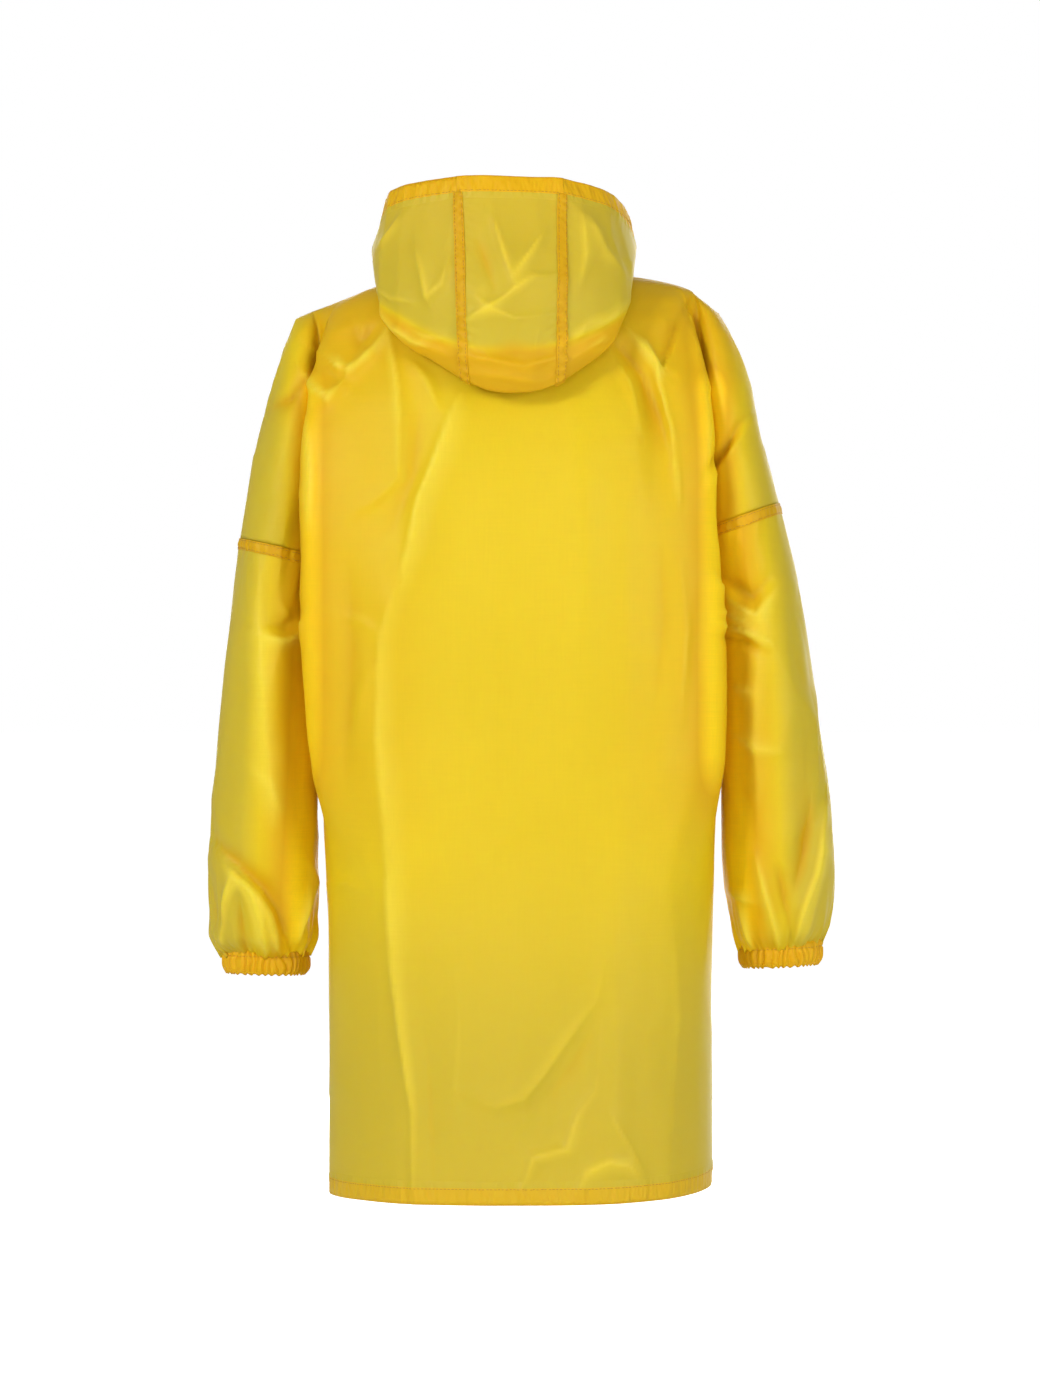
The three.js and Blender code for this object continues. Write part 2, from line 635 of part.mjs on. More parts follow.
// The first rows of a sleeve and its seam band keep to the facets of the dropped shoulder, which has half the
// columns.
function facetedPoint(side, i, drop) {
  const at = (k) => sleevePoint(side, k / SLEEVE_COLUMNS, drop);
  return i % 2 ? at(i - 1).lerp(at(i + 1), 0.5) : at(i);
}

function sleeveRows(side) {
  const length = SLEEVE[side][0].z - SLEEVE[side][SLEEVE[side].length - 1].z;
  const start = SEAM_GAP / length;
  const bandEnd = (SEAM_GAP + SEAM_BAND) / length;
  const upper = evenly(bandEnd, SLEEVE_GATHER_START, SLEEVE_ROWS - GATHER_ROWS);
  return [start, ...upper, ...evenly(SLEEVE_GATHER_START, 1, GATHER_ROWS).slice(1)];
}

function sleeveWall(side) {
  const rows = sleeveRows(side);
  const roundPoint = (i, drop) => sleevePoint(side, i / SLEEVE_COLUMNS, drop);
  return clothWall({
    columns: SLEEVE_COLUMNS,
    rows: rows.length - 1,
    closed: true,
    point: (i, j) => (j < 2 ? facetedPoint(side, i, rows[j]) : roundPoint(i, rows[j])),
    settle: (i, j, normal) => {
      if (j === 0) normal.z = 0;
    },
  });
}

// The felled armhole seam, on the outside of the sleeve's top.
function armholeBand(side) {
  const rows = sleeveRows(side);
  return clothWall({
    columns: SLEEVE_COLUMNS / 2,
    rows: 2,
    closed: true,
    keep: (i, j) => j === 0,
    shape: () => true,
    point: (i, j) => sleevePoint(side, (2 * i) / SLEEVE_COLUMNS, rows[j]),
    settle: (i, j, normal) => {
      if (j === 0) normal.z = 0;
    },
    thickness: BAND_WALL,
    shift: (WALL + BAND_WALL) / 2 + SEAM_GAP,
  });
}

// The elastic cuff: a gathered ring with a frilled lower edge.
function cuffWall(side) {
  const { x, z, halfWidth, halfDepth } = CUFF[side];
  const { sign } = SIDE[side];
  const middleY = SLEEVE[side][SLEEVE[side].length - 1].middleY;
  const samples = GATHER_COUNT * CUFF_SAMPLES;
  const rows = 2;
  return clothWall({
    columns: samples,
    rows,
    closed: true,
    thickness: CUFF_WALL,
    point: (i, j) => {
      const angle = (i / samples) * 2 * Math.PI;
      const height = lerp(CUFF_TOP_WAVE, CUFF_EDGE_WAVE, j / rows);
      const wave = GATHER_DEPTH * height * Math.cos(GATHER_COUNT * angle);
      const waist = CUFF_WAIST * Math.sin((Math.PI * j) / rows);
      const along = Math.cos(angle);
      return new THREE.Vector3(
        sign * (x + (halfWidth + wave - waist) * along),
        middleY + sign * (halfDepth + wave - waist) * Math.sin(angle),
        z - (j / rows) * CUFF_HEIGHT + cuffTilt(side, along, 1),
      );
    },
  });
}

// A point of the hood. t runs from the neck seam (0) over the slack to the face edge (1).
function hoodPoint(turn, t) {
  const [roll, belly, rim] = [HOOD.roll, HOOD.belly, HOOD.rim].map((table) => {
    const [x, y, z] = ["x", "y", "z"].map((axis) => tableAt(table, "turn", turn, axis));
    return new THREE.Vector3(x, y, z);
  });
  const neck = neckEdge(turn);
  const outward = new THREE.Vector3(roll.x - neck.x, roll.y - neck.y, 0).normalize();
  const slack = clamp01((HOOD_END_TURN - Math.abs(turn)) / HOOD_SLACK_TURN);
  neck.z += WALL + 2 * SEAM_GAP;
  const rise = neck.clone().addScaledVector(outward, HOOD_LEAN * slack);
  rise.z += HOOD_RISE;
  const inner = rise.clone().lerp(roll, 0.5).addScaledVector(outward, HOOD_SLACK * slack);
  inner.z += HOOD_ARCH * slack;
  return curveAt([neck, rise, inner, roll, belly, belly.clone().lerp(rim, 0.5), rim], t);
}

// The hood's grid: the face edge, the lower edge of its casing, then rows down to the neck seam.
const HOOD_STEPS = [1, 0.9, 0.83, 0.76, 0.69, 0.62, 0.57, 0.52, 0.48, 0.43, 0.35, 0.26, 0.17, 0.08, 0];

function hoodGridPoint(turn, j) {
  const point = hoodPoint(turn, HOOD_STEPS[j]);
  if (j !== 1) return point;
  const edge = hoodPoint(turn, HOOD_STEPS[0]);
  return edge.lerp(point, Math.min(1, RIM_FOLD / edge.distanceTo(point)));
}

// Columns of each hood panel: even steps to each side of the shoulder, and one at the edge of each felled
// seam.
const seamHalfTurn = THREE.MathUtils.radToDeg(SEAM_BAND / 2 / HOOD_SEAM_REACH);
const seamGapTurn = THREE.MathUtils.radToDeg(SEAM_GAP / 2 / NECK.back);
const hoodTurns = {
  left: [
    ...evenly(-HOOD_END_TURN, -90, HOOD_FRONT_CELLS),
    ...evenly(-90, HOOD_SEAM_TURN.left - seamHalfTurn, HOOD_SIDE_CELLS).slice(1),
    HOOD_SEAM_TURN.left - seamGapTurn,
  ],
  middle: [
    HOOD_SEAM_TURN.left + seamGapTurn,
    ...evenly(HOOD_SEAM_TURN.left + seamHalfTurn, HOOD_SEAM_TURN.right - seamHalfTurn, HOOD_MIDDLE_CELLS),
    HOOD_SEAM_TURN.right - seamGapTurn,
  ],
  right: [
    HOOD_SEAM_TURN.right + seamGapTurn,
    ...evenly(HOOD_SEAM_TURN.right + seamHalfTurn, 90, HOOD_SIDE_CELLS),
    ...evenly(90, HOOD_END_TURN, HOOD_FRONT_CELLS).slice(1),
  ],
};

function hoodPanel(turns) {
  return clothWall({
    columns: turns.length - 1,
    rows: HOOD_STEPS.length - 1,
    point: (i, j) => hoodGridPoint(turns[i], j),
  });
}

// The felled seams of the hood, on its outside from the slack to the casing.
function hoodSeam(seamTurn) {
  const beside = (hoodTurns.middle.at(-2) - hoodTurns.middle[1]) / (hoodTurns.middle.length - 3);
  const offsets = [-beside, -seamHalfTurn, 0, seamHalfTurn, beside];
  const rows = HOOD_STEPS.map((t, j) => j).filter((j) => HOOD_STEPS[j] > HOOD_SEAM_START);
  return clothWall({
    columns: offsets.length - 1,
    rows: rows.length - 1,
    keep: (i, j) => (i === 1 || i === 2) && j > 0 && j < rows.length - 2,
    shape: () => true,
    point: (i, j) => hoodGridPoint(seamTurn + offsets[i], rows[j]),
    thickness: BAND_WALL,
    shift: (WALL + BAND_WALL) / 2 + HOOD_SEAM_GAP,
  });
}

// The rim casing, turned to the inside of the face edge.
function hoodRim() {
  const turns = [...hoodTurns.left, ...hoodTurns.middle, ...hoodTurns.right].slice(1, -1);
  return clothWall({
    columns: turns.length - 1,
    rows: 2,
    keep: (i, j) => j === 0,
    shape: () => true,
    point: (i, j) => hoodGridPoint(turns[i], j),
    thickness: BAND_WALL,
    shift: -(WALL + BAND_WALL) / 2 - SEAM_GAP,
  });
}

// A press stud's cap, on the outside of the front's lap.
function snapCap() {
  const cap = [
    new THREE.Vector2(0, 0),
    new THREE.Vector2(SNAP_RADIUS, 0),
    new THREE.Vector2(SNAP_RADIUS, SNAP_SIDE),
    new THREE.Vector2(SNAP_SHOULDER_RADIUS, SNAP_SHOULDER),
    new THREE.Vector2(0, SNAP_HEIGHT),
  ];
  return new THREE.LatheGeometry(cap, SNAP_SEGMENTS);
}

const coat = new THREE.Group();

function piece(name, geometry, colour = RAINCOAT_YELLOW, roughness = 0.45) {
  const material = new THREE.MeshStandardMaterial({ color: colour, roughness, metalness: 0 });
  const mesh = new THREE.Mesh(geometry, material);
  mesh.name = name;
  coat.add(mesh);
  return mesh;
}

piece("back", panelWall(-1, backColumns()));
piece("hem_back", hemFold(-1, backColumns()), SEAM_YELLOW);
for (const side of ["left", "right"]) {
  piece(`front_${side}`, panelWall(1, frontColumns(side)));
  piece(`hem_front_${side}`, hemFold(1, frontColumns(side)), SEAM_YELLOW);
  piece(`sleeve_${side}`, sleeveWall(side));
  piece(`armhole_seam_${side}`, armholeBand(side), SEAM_YELLOW);
  piece(`cuff_${side}`, cuffWall(side), SEAM_YELLOW);
}

for (const [name, turns] of Object.entries(hoodTurns)) piece(`hood_${name}`, hoodPanel(turns));
piece("hood_seam_left", hoodSeam(HOOD_SEAM_TURN.left), SEAM_YELLOW);
piece("hood_seam_right", hoodSeam(HOOD_SEAM_TURN.right), SEAM_YELLOW);
piece("hood_rim", hoodRim(), SEAM_YELLOW);

// The studs sit square on the lap, each in the middle of the strip of cloth at its height.
for (let k = 0; k < SNAP_COUNT; k += 1) {
  const z = SNAP_TOP_Z - k * SNAP_PITCH;
  const lap = { side: "left", q: 0 };
  const below = bodyRows.findIndex((v) => frontPoint(lap, v).z < z);
  const low = frontPoint(lap, bodyRows[below]);
  const high = frontPoint(lap, bodyRows[below - 1]);
  const seat = high.clone().lerp(low, 0.5);
  const outward = new THREE.Vector3(0, high.z - low.z, low.y - high.y).normalize();
  const snap = piece(`snap_${k + 1}`, snapCap(), SEAM_YELLOW, 0.3);
  snap.position.copy(seat.addScaledVector(outward, WALL / 2 + SEAM_GAP));
  snap.quaternion.setFromUnitVectors(new THREE.Vector3(0, 1, 0), outward);
}

export default coat;
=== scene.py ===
"""The looks of a child's hooded raincoat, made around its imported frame.

The tables give millimetres in the coat's own frame: +Z up, the back towards -Y, the wearer's left towards -X.
"""

import math
import random
from collections import namedtuple

import bmesh
import bpy
import numpy as np
from bpy.props import FloatProperty, FloatVectorProperty, IntProperty, PointerProperty
from bpy.types import Operator, Panel, PropertyGroup
from mathutils import Matrix, Vector, noise
from mathutils.bvhtree import BVHTree
from mathutils.kdtree import KDTree


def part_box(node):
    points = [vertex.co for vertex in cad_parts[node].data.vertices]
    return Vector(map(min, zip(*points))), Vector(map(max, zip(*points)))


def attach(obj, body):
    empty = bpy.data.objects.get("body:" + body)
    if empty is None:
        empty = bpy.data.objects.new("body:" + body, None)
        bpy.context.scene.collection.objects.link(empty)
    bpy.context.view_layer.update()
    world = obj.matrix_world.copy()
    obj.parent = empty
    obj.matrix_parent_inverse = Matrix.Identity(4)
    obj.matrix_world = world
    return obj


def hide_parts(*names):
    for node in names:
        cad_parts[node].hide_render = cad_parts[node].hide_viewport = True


bl_info = {
    "name": "Child's Raincoat",
    "version": (1, 0, 0),
    "blender": (4, 5, 0),
    "location": "3D View > Sidebar > Raincoat",
    "description": "Makes the cloth, sewing and studs of a hooded raincoat around its frame",
    "category": "Object",
}

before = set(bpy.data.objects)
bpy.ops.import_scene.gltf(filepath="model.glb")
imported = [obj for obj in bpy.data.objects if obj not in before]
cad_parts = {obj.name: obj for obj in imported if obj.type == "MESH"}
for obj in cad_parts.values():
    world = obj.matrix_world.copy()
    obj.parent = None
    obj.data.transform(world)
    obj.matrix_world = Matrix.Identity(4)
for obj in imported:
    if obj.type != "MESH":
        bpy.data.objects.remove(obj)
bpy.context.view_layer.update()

MM = 0.001
WELD = 0.02 * MM
WALL_RANGE = (0.95 * MM, 1.26 * MM)
SUBDIVISIONS = 2
LONGEST = 1.4
RAIL_SPACING = 4 * MM
FAR = 1.0
FOLD_WIDTH = 15.2 * MM
HEM_DEEPNESS = 0.62

# A fold on the cloth: its height in mm, below 0 for a trough, how far it falls off to the left and to the
# right of its path, and the path's (x, z) places, seen from behind the coat.
Fold = namedtuple("Fold", "height left right path")

REAR_FOLDS = (
    # The left shoulder's swags.
    Fold(4.3, 11, 5, ((-194, -70), (-181, -86), (-168, -95), (-158, -83), (-150, -70))),
    Fold(4.6, 14, 5, ((-183, -49), (-165, -65), (-148, -70), (-133, -57), (-118, -40))),
    Fold(-3.2, 8, 14, ((-176, -52), (-160, -78), (-146, -54))),
    Fold(-3.5, 8, 12, ((-146, -28), (-142, -44), (-128, -30))),
    Fold(-3.8, 4, 12, ((-220, -96), (-206, -91), (-194, -84))),
    Fold(3.0, 4, 9, ((-186, -110), (-182, -160), (-184, -215))),
    # Thin creases from the hood down the left of the back.
    Fold(3.2, 3.4, 12, ((-116, -30), (-107, -82), (-104, -119), (-105, -167), (-119, -181), (-134, -193))),
    Fold(3.8, 18, 5, ((-52, -92), (-60, -112), (-74, -148), (-89, -185), (-101, -244))),
    Fold(2.3, 5, 9, ((-96, -62), (-82, -80), (-70, -108))),
    Fold(-2.2, 10, 22, ((-88, -104), (-92, -160), (-112, -214))),
    # The long soft ridge from the left shoulder blade to the hem.
    Fold(2.6, 24, 7, ((-100, -238), (-113, -276), (-122, -309), (-124, -393), (-117, -472), (-112, -560))),
    Fold(3.2, 16, 4.5, ((-116, -520), (-112, -588), (-104, -655), (-94, -718), (-93, -796))),
    Fold(-2.2, 16, 10, ((-152, -238), (-149, -320), (-154, -430))),
    Fold(-2.0, 9, 15, ((-84, -640), (-78, -716), (-76, -796))),
    Fold(1.3, 3, 7, ((-153, -286), (-137, -292), (-124, -301))),
    Fold(1.6, 3, 8, ((-170, -524), (-152, -520), (-138, -527))),
    Fold(1.2, 6, 3, ((-128, -330), (-140, -352), (-146, -392))),
    # Faint bands down the middle.
    Fold(0.9, 17, 30, ((-22, -150), (-23, -360), (-28, -540))),
    Fold(1.0, 30, 18, ((53, -112), (56, -240), (52, -450))),
    Fold(-0.8, 22, 20, ((16, -150), (14, -330), (20, -500))),
    Fold(0.9, 14, 22, ((92, -180), (95, -330), (88, -520))),
    # The right shoulder: a deep pocket, a trough beside it and the ridges between them.
    Fold(-5.4, 15, 5, ((150, -6), (137, -33), (125, -68))),
    Fold(-2.2, 16, 14, ((150, -30), (153, -74), (156, -128))),
    Fold(4.2, 4, 8, ((110, -44), (117, -60), (126, -70), (134, -54), (147, -14))),
    Fold(-5.0, 5, 15, ((80, -40), (96, -56), (111, -74), (124, -113), (132, -145))),
    Fold(3.8, 4.5, 9, ((94, -32), (119, -63), (134, -126), (139, -190))),
    Fold(3.0, 12, 4, ((76, -52), (96, -84), (106, -122))),
    Fold(2.8, 8, 3.5, ((155, -30), (160, -58), (164, -116), (166, -170))),
    Fold(-1.6, 16, 14, ((122, -220), (126, -290), (117, -372))),
    Fold(1.8, 5, 9, ((140, -236), (146, -300), (140, -380))),
    # The right sleeve.
    Fold(-4.2, 5, 14, ((164, -160), (182, -133), (202, -108))),
    Fold(3.9, 3.4, 10, ((171, -163), (190, -134), (207, -107))),
    Fold(3.6, 4, 9, ((170, -250), (190, -272), (210, -285), (228, -258))),
    Fold(-4.2, 8, 9, ((182, -254), (206, -268), (222, -250))),
    Fold(4.2, 3.4, 9, ((176, -293), (196, -297), (222, -309))),
    Fold(-3.6, 11, 4, ((178, -304), (198, -308), (218, -318))),
    Fold(2.7, 4, 7, ((175, -281), (190, -284), (206, -293))),
    Fold(2.0, 4, 6, ((188, -346), (207, -354))),
    Fold(2.1, 7, 4, ((190, -390), (212, -405), (240, -407))),
    Fold(2.5, 16, 14, ((216, -236), (214, -300), (209, -396), (214, -470))),
    Fold(5.0, 12, 3.6, ((274, -452), (270, -476), (264, -515), (253, -546), (243, -580))),
    Fold(-3.6, 8, 10, ((262, -452), (256, -496), (246, -532))),
    Fold(4.2, 5, 8, ((212, -500), (220, -532), (227, -555), (236, -582))),
    Fold(-3.4, 6, 8, ((230, -508), (240, -548), (246, -578))),
    Fold(3.4, 4, 7, ((197, -540), (203, -558), (211, -582))),
    Fold(2.8, 6, 3.5, ((188, -530), (198, -536), (208, -540))),
    # The left sleeve.
    Fold(2.7, 12, 16, ((-232, -226), (-229, -307), (-226, -396), (-220, -470))),
    Fold(3.4, 4, 9, ((-231, -301), (-212, -307), (-199, -303), (-190, -286))),
    Fold(-2.8, 8, 9, ((-222, -292), (-208, -294), (-197, -284))),
    Fold(2.1, 4, 5, ((-212, -276), (-204, -286), (-196, -284))),
    Fold(-5.3, 13, 4, ((-268, -496), (-248, -513), (-229, -530), (-218, -546), (-209, -574))),
    Fold(4.8, 4, 10, ((-268, -502), (-252, -518), (-234, -534), (-224, -552), (-216, -580))),
    Fold(4.2, 7, 4, ((-254, -511), (-264, -540), (-268, -572))),
    Fold(-3.1, 5, 6, ((-252, -530), (-250, -560), (-246, -582))),
    Fold(4.2, 5, 6, ((-242, -525), (-233, -553), (-227, -584))),
    Fold(3.6, 4, 8, ((-190, -505), (-185, -524), (-192, -548), (-200, -572))),
    Fold(1.8, 5, 8, ((-238, -420), (-222, -436), (-214, -460))),
    # The lower back: the soft swag and the steps beside it.
    Fold(2.0, 18, 6, ((-45, -705), (-21, -714), (3, -707), (21, -685), (43, -653), (67, -622), (74, -584))),
    Fold(-1.2, 10, 26, ((20, -712), (44, -682), (64, -650), (78, -610))),
    Fold(1.6, 14, 4, ((69, -628), (66, -699), (50, -724))),
    Fold(2.2, 13, 5, ((52, -714), (41, -751), (11, -758), (1, -790))),
    Fold(2.4, 5, 14, ((50, -790), (58, -771), (77, -762), (94, -766), (104, -778))),
    Fold(1.6, 4, 9, ((75, -714), (92, -744), (110, -778))),
    Fold(1.2, 8, 12, ((-60, -560), (-52, -640), (-58, -740))),
    Fold(1.5, 9, 14, ((132, -520), (138, -640), (130, -796))),
)

FORE_FOLDS = (
    # The fronts: swags from the shoulders, pulls at the studs and long soft ridges.
    Fold(3.0, 12, 5, ((-190, -78), (-172, -98), (-154, -84), (-140, -62))),
    Fold(2.8, 12, 5, ((-160, -46), (-142, -66), (-122, -50), (-110, -34))),
    Fold(2.8, 5, 12, ((176, -74), (158, -92), (140, -76), (128, -56))),
    Fold(2.4, 4, 11, ((150, -36), (130, -58), (112, -44))),
    Fold(2.6, 5, 14, ((-104, -60), (-96, -130), (-88, -210), (-96, -300))),
    Fold(2.4, 14, 5, ((92, -54), (90, -126), (98, -220), (92, -310))),
    Fold(2.6, 16, 5, ((-112, -330), (-120, -450), (-110, -600), (-104, -796))),
    Fold(2.8, 5, 16, ((112, -300), (118, -430), (108, -590), (112, -796))),
    Fold(-2.4, 12, 14, ((-62, -300), (-56, -470), (-64, -640))),
    Fold(-2.4, 14, 12, ((58, -260), (64, -440), (54, -640))),
    Fold(1.9, 5, 9, ((4, -96), (-26, -110), (-60, -140))),
    Fold(1.6, 9, 5, ((4, -98), (34, -114), (58, -150))),
    Fold(1.7, 5, 8, ((4, -216), (-30, -226), (-52, -246))),
    Fold(1.6, 8, 5, ((6, -338), (36, -352), (52, -382))),
    Fold(1.7, 5, 8, ((0, -458), (-28, -474), (-42, -500))),
    Fold(2.0, 12, 5, ((-46, -700), (-10, -716), (30, -700), (52, -668))),
    Fold(2.0, 5, 12, ((58, -790), (66, -752), (60, -700))),
    Fold(1.8, 12, 5, ((-70, -790), (-78, -740), (-70, -690))),
    Fold(-2.0, 12, 14, ((150, -240), (146, -340), (150, -450))),
    Fold(-2.0, 14, 12, ((-152, -250), (-148, -350), (-152, -460))),
    # The sleeves seen from the front.
    Fold(2.8, 4, 10, ((-240, -140), (-220, -164), (-200, -170))),
    Fold(2.4, 10, 4, ((222, -130), (204, -152), (184, -160))),
    Fold(2.6, 4, 9, ((-232, -300), (-212, -316), (-194, -306))),
    Fold(2.4, 9, 4, ((236, -262), (214, -284), (188, -280))),
    Fold(1.9, 14, 16, ((-236, -240), (-232, -330), (-226, -450))),
    Fold(1.9, 16, 14, ((224, -220), (226, -330), (222, -450))),
    Fold(3.2, 10, 4, ((-262, -488), (-244, -520), (-238, -580))),
    Fold(3.0, 4, 9, ((-214, -500), (-216, -540), (-224, -582))),
    Fold(3.2, 9, 4, ((262, -476), (256, -520), (248, -578))),
    Fold(3.0, 4, 9, ((210, -492), (218, -530), (224, -576))),
)

HOOD_FOLDS = (
    Fold(2.6, 9, 3, ((-24, 62), (-15, 29), (-7, 4))),
    Fold(2.6, 3, 9, ((-7, 4), (8, 28), (22, 52))),
    Fold(2.4, 3.4, 10, ((-50, -34), (-17, -14), (10, 7), (32, 8))),
    Fold(-2.0, 9, 7, ((-36, 40), (-26, 8), (-20, -8))),
    Fold(2.0, 4, 8, ((-40, -8), (-24, -22), (-4, -30), (24, -26))),
    Fold(2.7, 4, 10, ((-128, 36), (-112, 54), (-104, 66))),
    Fold(2.6, 8, 4, ((-92, 40), (-86, 14), (-81, -10), (-68, 0), (-62, 20))),
    Fold(3.5, 4, 9, ((-129, -8), (-112, -32), (-94, -46), (-66, -58))),
    Fold(2.4, 8, 4, ((-128, 4), (-112, -9), (-92, -14))),
    Fold(2.3, 4, 6, ((-100, -34), (-80, -44), (-62, -46))),
    Fold(2.8, 4, 7, ((-56, -60), (-25, -65), (3, -71), (38, -62))),
    Fold(2.2, 6, 4, ((-44, -76), (-16, -80), (14, -84))),
    Fold(3.2, 8, 4, ((34, -54), (57, -36), (80, -26), (99, -6))),
    Fold(2.0, 5, 9, ((60, 62), (76, 30), (92, 14))),
    Fold(2.2, 9, 5, ((52, 66), (56, 30), (50, -6))),
    Fold(2.3, 4, 8, ((40, -66), (60, -52), (78, -42))),
)

# Each piece of cloth: the frame's node, the size that it was cut to in metres, the area of that cut, what it
# is sewn to, how far apart its points lie, and how far it is lifted from the panel under it, in mm.
Cloth = namedtuple("Cloth", "node width length area sewn_to cell lift", defaults=[0])
BODY_CLOTHS = (
    Cloth("back", 0.86, 0.86, 0.45, (), 14),
    Cloth("front_left", 0.45, 0.84, 0.235, ("back_cloth",), 12),
    Cloth("front_right", 0.45, 0.84, 0.225, ("back_cloth",), 12),
)
SLEEVE_CLOTHS = (
    Cloth("sleeve_left", 0.40, 0.40, 0.125, ("back_cloth", "front_left_cloth"), 11),
    Cloth("sleeve_right", 0.40, 0.43, 0.13, ("back_cloth", "front_right_cloth"), 11),
)
HOOD_CLOTHS = (
    Cloth("hood_left", 0.26, 0.26, 0.035, ("back_cloth",), 9),
    Cloth("hood_middle", 0.10, 0.29, 0.026, ("back_cloth",), 9),
    Cloth("hood_right", 0.24, 0.26, 0.03, ("back_cloth",), 9),
)
HEM_CLOTHS = (
    Cloth("hem_back", 0.49, 0.015, None, ("back_cloth",), 8, -0.4),
    Cloth("hem_front_left", 0.24, 0.015, None, ("front_left_cloth",), 8, -0.4),
    Cloth("hem_front_right", 0.24, 0.015, None, ("front_right_cloth",), 8, -0.4),
)
BAND_CLOTHS = (
    Cloth("armhole_seam_left", 0.36, 0.010, None, ("sleeve_left_cloth",), 5, -0.5),
    Cloth("armhole_seam_right", 0.36, 0.010, None, ("sleeve_right_cloth",), 5, -0.5),
    Cloth("hood_seam_left", 0.010, 0.18, None, ("hood_left_cloth", "hood_middle_cloth"), 5, -0.3),
    Cloth("hood_seam_right", 0.010, 0.18, None, ("hood_middle_cloth", "hood_right_cloth"), 5, -0.3),
    Cloth("hood_rim", 0.40, 0.015, None, ("hood_middle_cloth",), 5, -0.4),
)

# Where each cuff is in mm: the middle of its top, its half width and half depth, how its top leans to the
# side, and the seed of the gathers above it.
Cuff = namedtuple("Cuff", "side x y z half_width half_depth tilt seed")
CUFFS = (
    Cuff("left", -231, 28, -586, 37.5, 28.5, -0.02, 11),
    Cuff("right", 236.5, 28, -579, 36, 28.5, 0.05, 23),
)


class RaincoatCloth(PropertyGroup):
    """Settings of the cloth."""

    colour: FloatVectorProperty(
        name="Cloth", description="Colour of the single cloth", subtype="COLOR", size=4,
        default=(0.70, 0.50, 0.008, 1.0), min=0.0, max=1.0,
    )
    # Also the colour of the painted shade where cloth lies behind, in the folds' troughs and low on the hood.
    doubled_and_shade_colour: FloatVectorProperty(
        name="Doubled Cloth", description="Colour where the cloth lies double", subtype="COLOR", size=4,
        default=(0.69, 0.385, 0.003, 1.0), min=0.0, max=1.0,
    )
    # Painted light: the tone where more daylight comes through, and, lightened, the painted highlights on the
    # folds' crests.
    pale_colour: FloatVectorProperty(
        name="Pale Cloth", description="Colour where more daylight comes through", subtype="COLOR", size=4,
        default=(0.51, 0.395, 0.03, 1.0), min=0.0, max=1.0,
    )
    thickness: FloatProperty(
        name="Thickness", description="Thickness of the cloth as drawn", unit="LENGTH",
        default=0.5 * MM, min=0.2 * MM, max=1.0 * MM,
    )
    fold_strength: FloatProperty(
        name="Folds", description="How strong the folds are", subtype="FACTOR",
        default=1.6, min=0.0, max=2.5,
    )
    crumple: FloatProperty(
        name="Crumple", description="Height of the small unevenness", unit="LENGTH",
        default=1.0 * MM, min=0.0, max=4.0 * MM,
    )
    roughness: FloatProperty(
        name="Roughness", description="How soft the cloth's sheen is", subtype="FACTOR",
        default=0.5, min=0.0, max=1.0,
    )


class RaincoatSewing(PropertyGroup):
    """Settings of the sewing."""

    thread_colour: FloatVectorProperty(
        name="Thread", description="Colour of the thread", subtype="COLOR", size=4,
        default=(0.46, 0.20, 0.004, 1.0), min=0.0, max=1.0,
    )
    stitch_length: FloatProperty(
        name="Stitch", description="Length of a stitch", unit="LENGTH",
        default=2.6 * MM, min=1.5 * MM, max=5 * MM,
    )
    stitch_gap: FloatProperty(
        name="Gap", description="Gap between two stitches", unit="LENGTH",
        default=0.8 * MM, min=0.3 * MM, max=2 * MM,
    )
    thread_width: FloatProperty(
        name="Thread Width", description="Width of the thread", unit="LENGTH",
        default=0.5 * MM, min=0.2 * MM, max=1 * MM,
    )
    pucker: FloatProperty(
        name="Pucker", description="Height of the puckers along a seam", unit="LENGTH",
        default=0.55 * MM, min=0.0, max=1.5 * MM,
    )
    pucker_pitch: FloatProperty(
        name="Pucker Pitch", description="Distance from pucker to pucker", unit="LENGTH",
        default=9 * MM, min=3 * MM, max=30 * MM,
    )


class RaincoatCuffs(PropertyGroup):
    """Settings of the elastic cuffs and the gathers above them."""

    gathers: IntProperty(name="Gathers", description="Gathers round a cuff", default=38, min=12, max=60)
    gather_depth: FloatProperty(
        name="Gather Depth", description="Height of a cuff's gathers", unit="LENGTH",
        default=2.6 * MM, min=0.0, max=4 * MM,
    )
    height: FloatProperty(
        name="Height", description="Height of a cuff", unit="LENGTH",
        default=24 * MM, min=10 * MM, max=50 * MM,
    )
    sleeve_gathers: IntProperty(
        name="Sleeve Gathers", description="Gathers that run up the sleeve", default=19, min=6, max=40
    )
    sleeve_gather_depth: FloatProperty(
        name="Sleeve Gather Depth", description="Height of the gathers that run up the sleeve", unit="LENGTH",
        default=3.2 * MM, min=0.0, max=6 * MM,
    )


class RaincoatStage(PropertyGroup):
    """Settings of the floor, the lights and the camera."""

    camera_distance: FloatProperty(
        name="Camera Distance", description="From the camera to the coat's middle", unit="LENGTH",
        default=3.4, min=1.0, max=20.0,
    )
    camera_height: FloatProperty(
        name="Camera Height", description="Height of the camera in the coat's frame", unit="LENGTH",
        default=-0.353, min=-2.0, max=2.0,
    )
    view_width: FloatProperty(
        name="View Width", description="Width of the view at the coat", unit="LENGTH",
        default=0.936, min=0.2, max=5.0,
    )
    floor_height: FloatProperty(
        name="Floor Height", description="Height of the floor in the coat's frame", unit="LENGTH",
        default=-1.05, min=-2.0, max=-0.8,
    )


# The folds' heights.

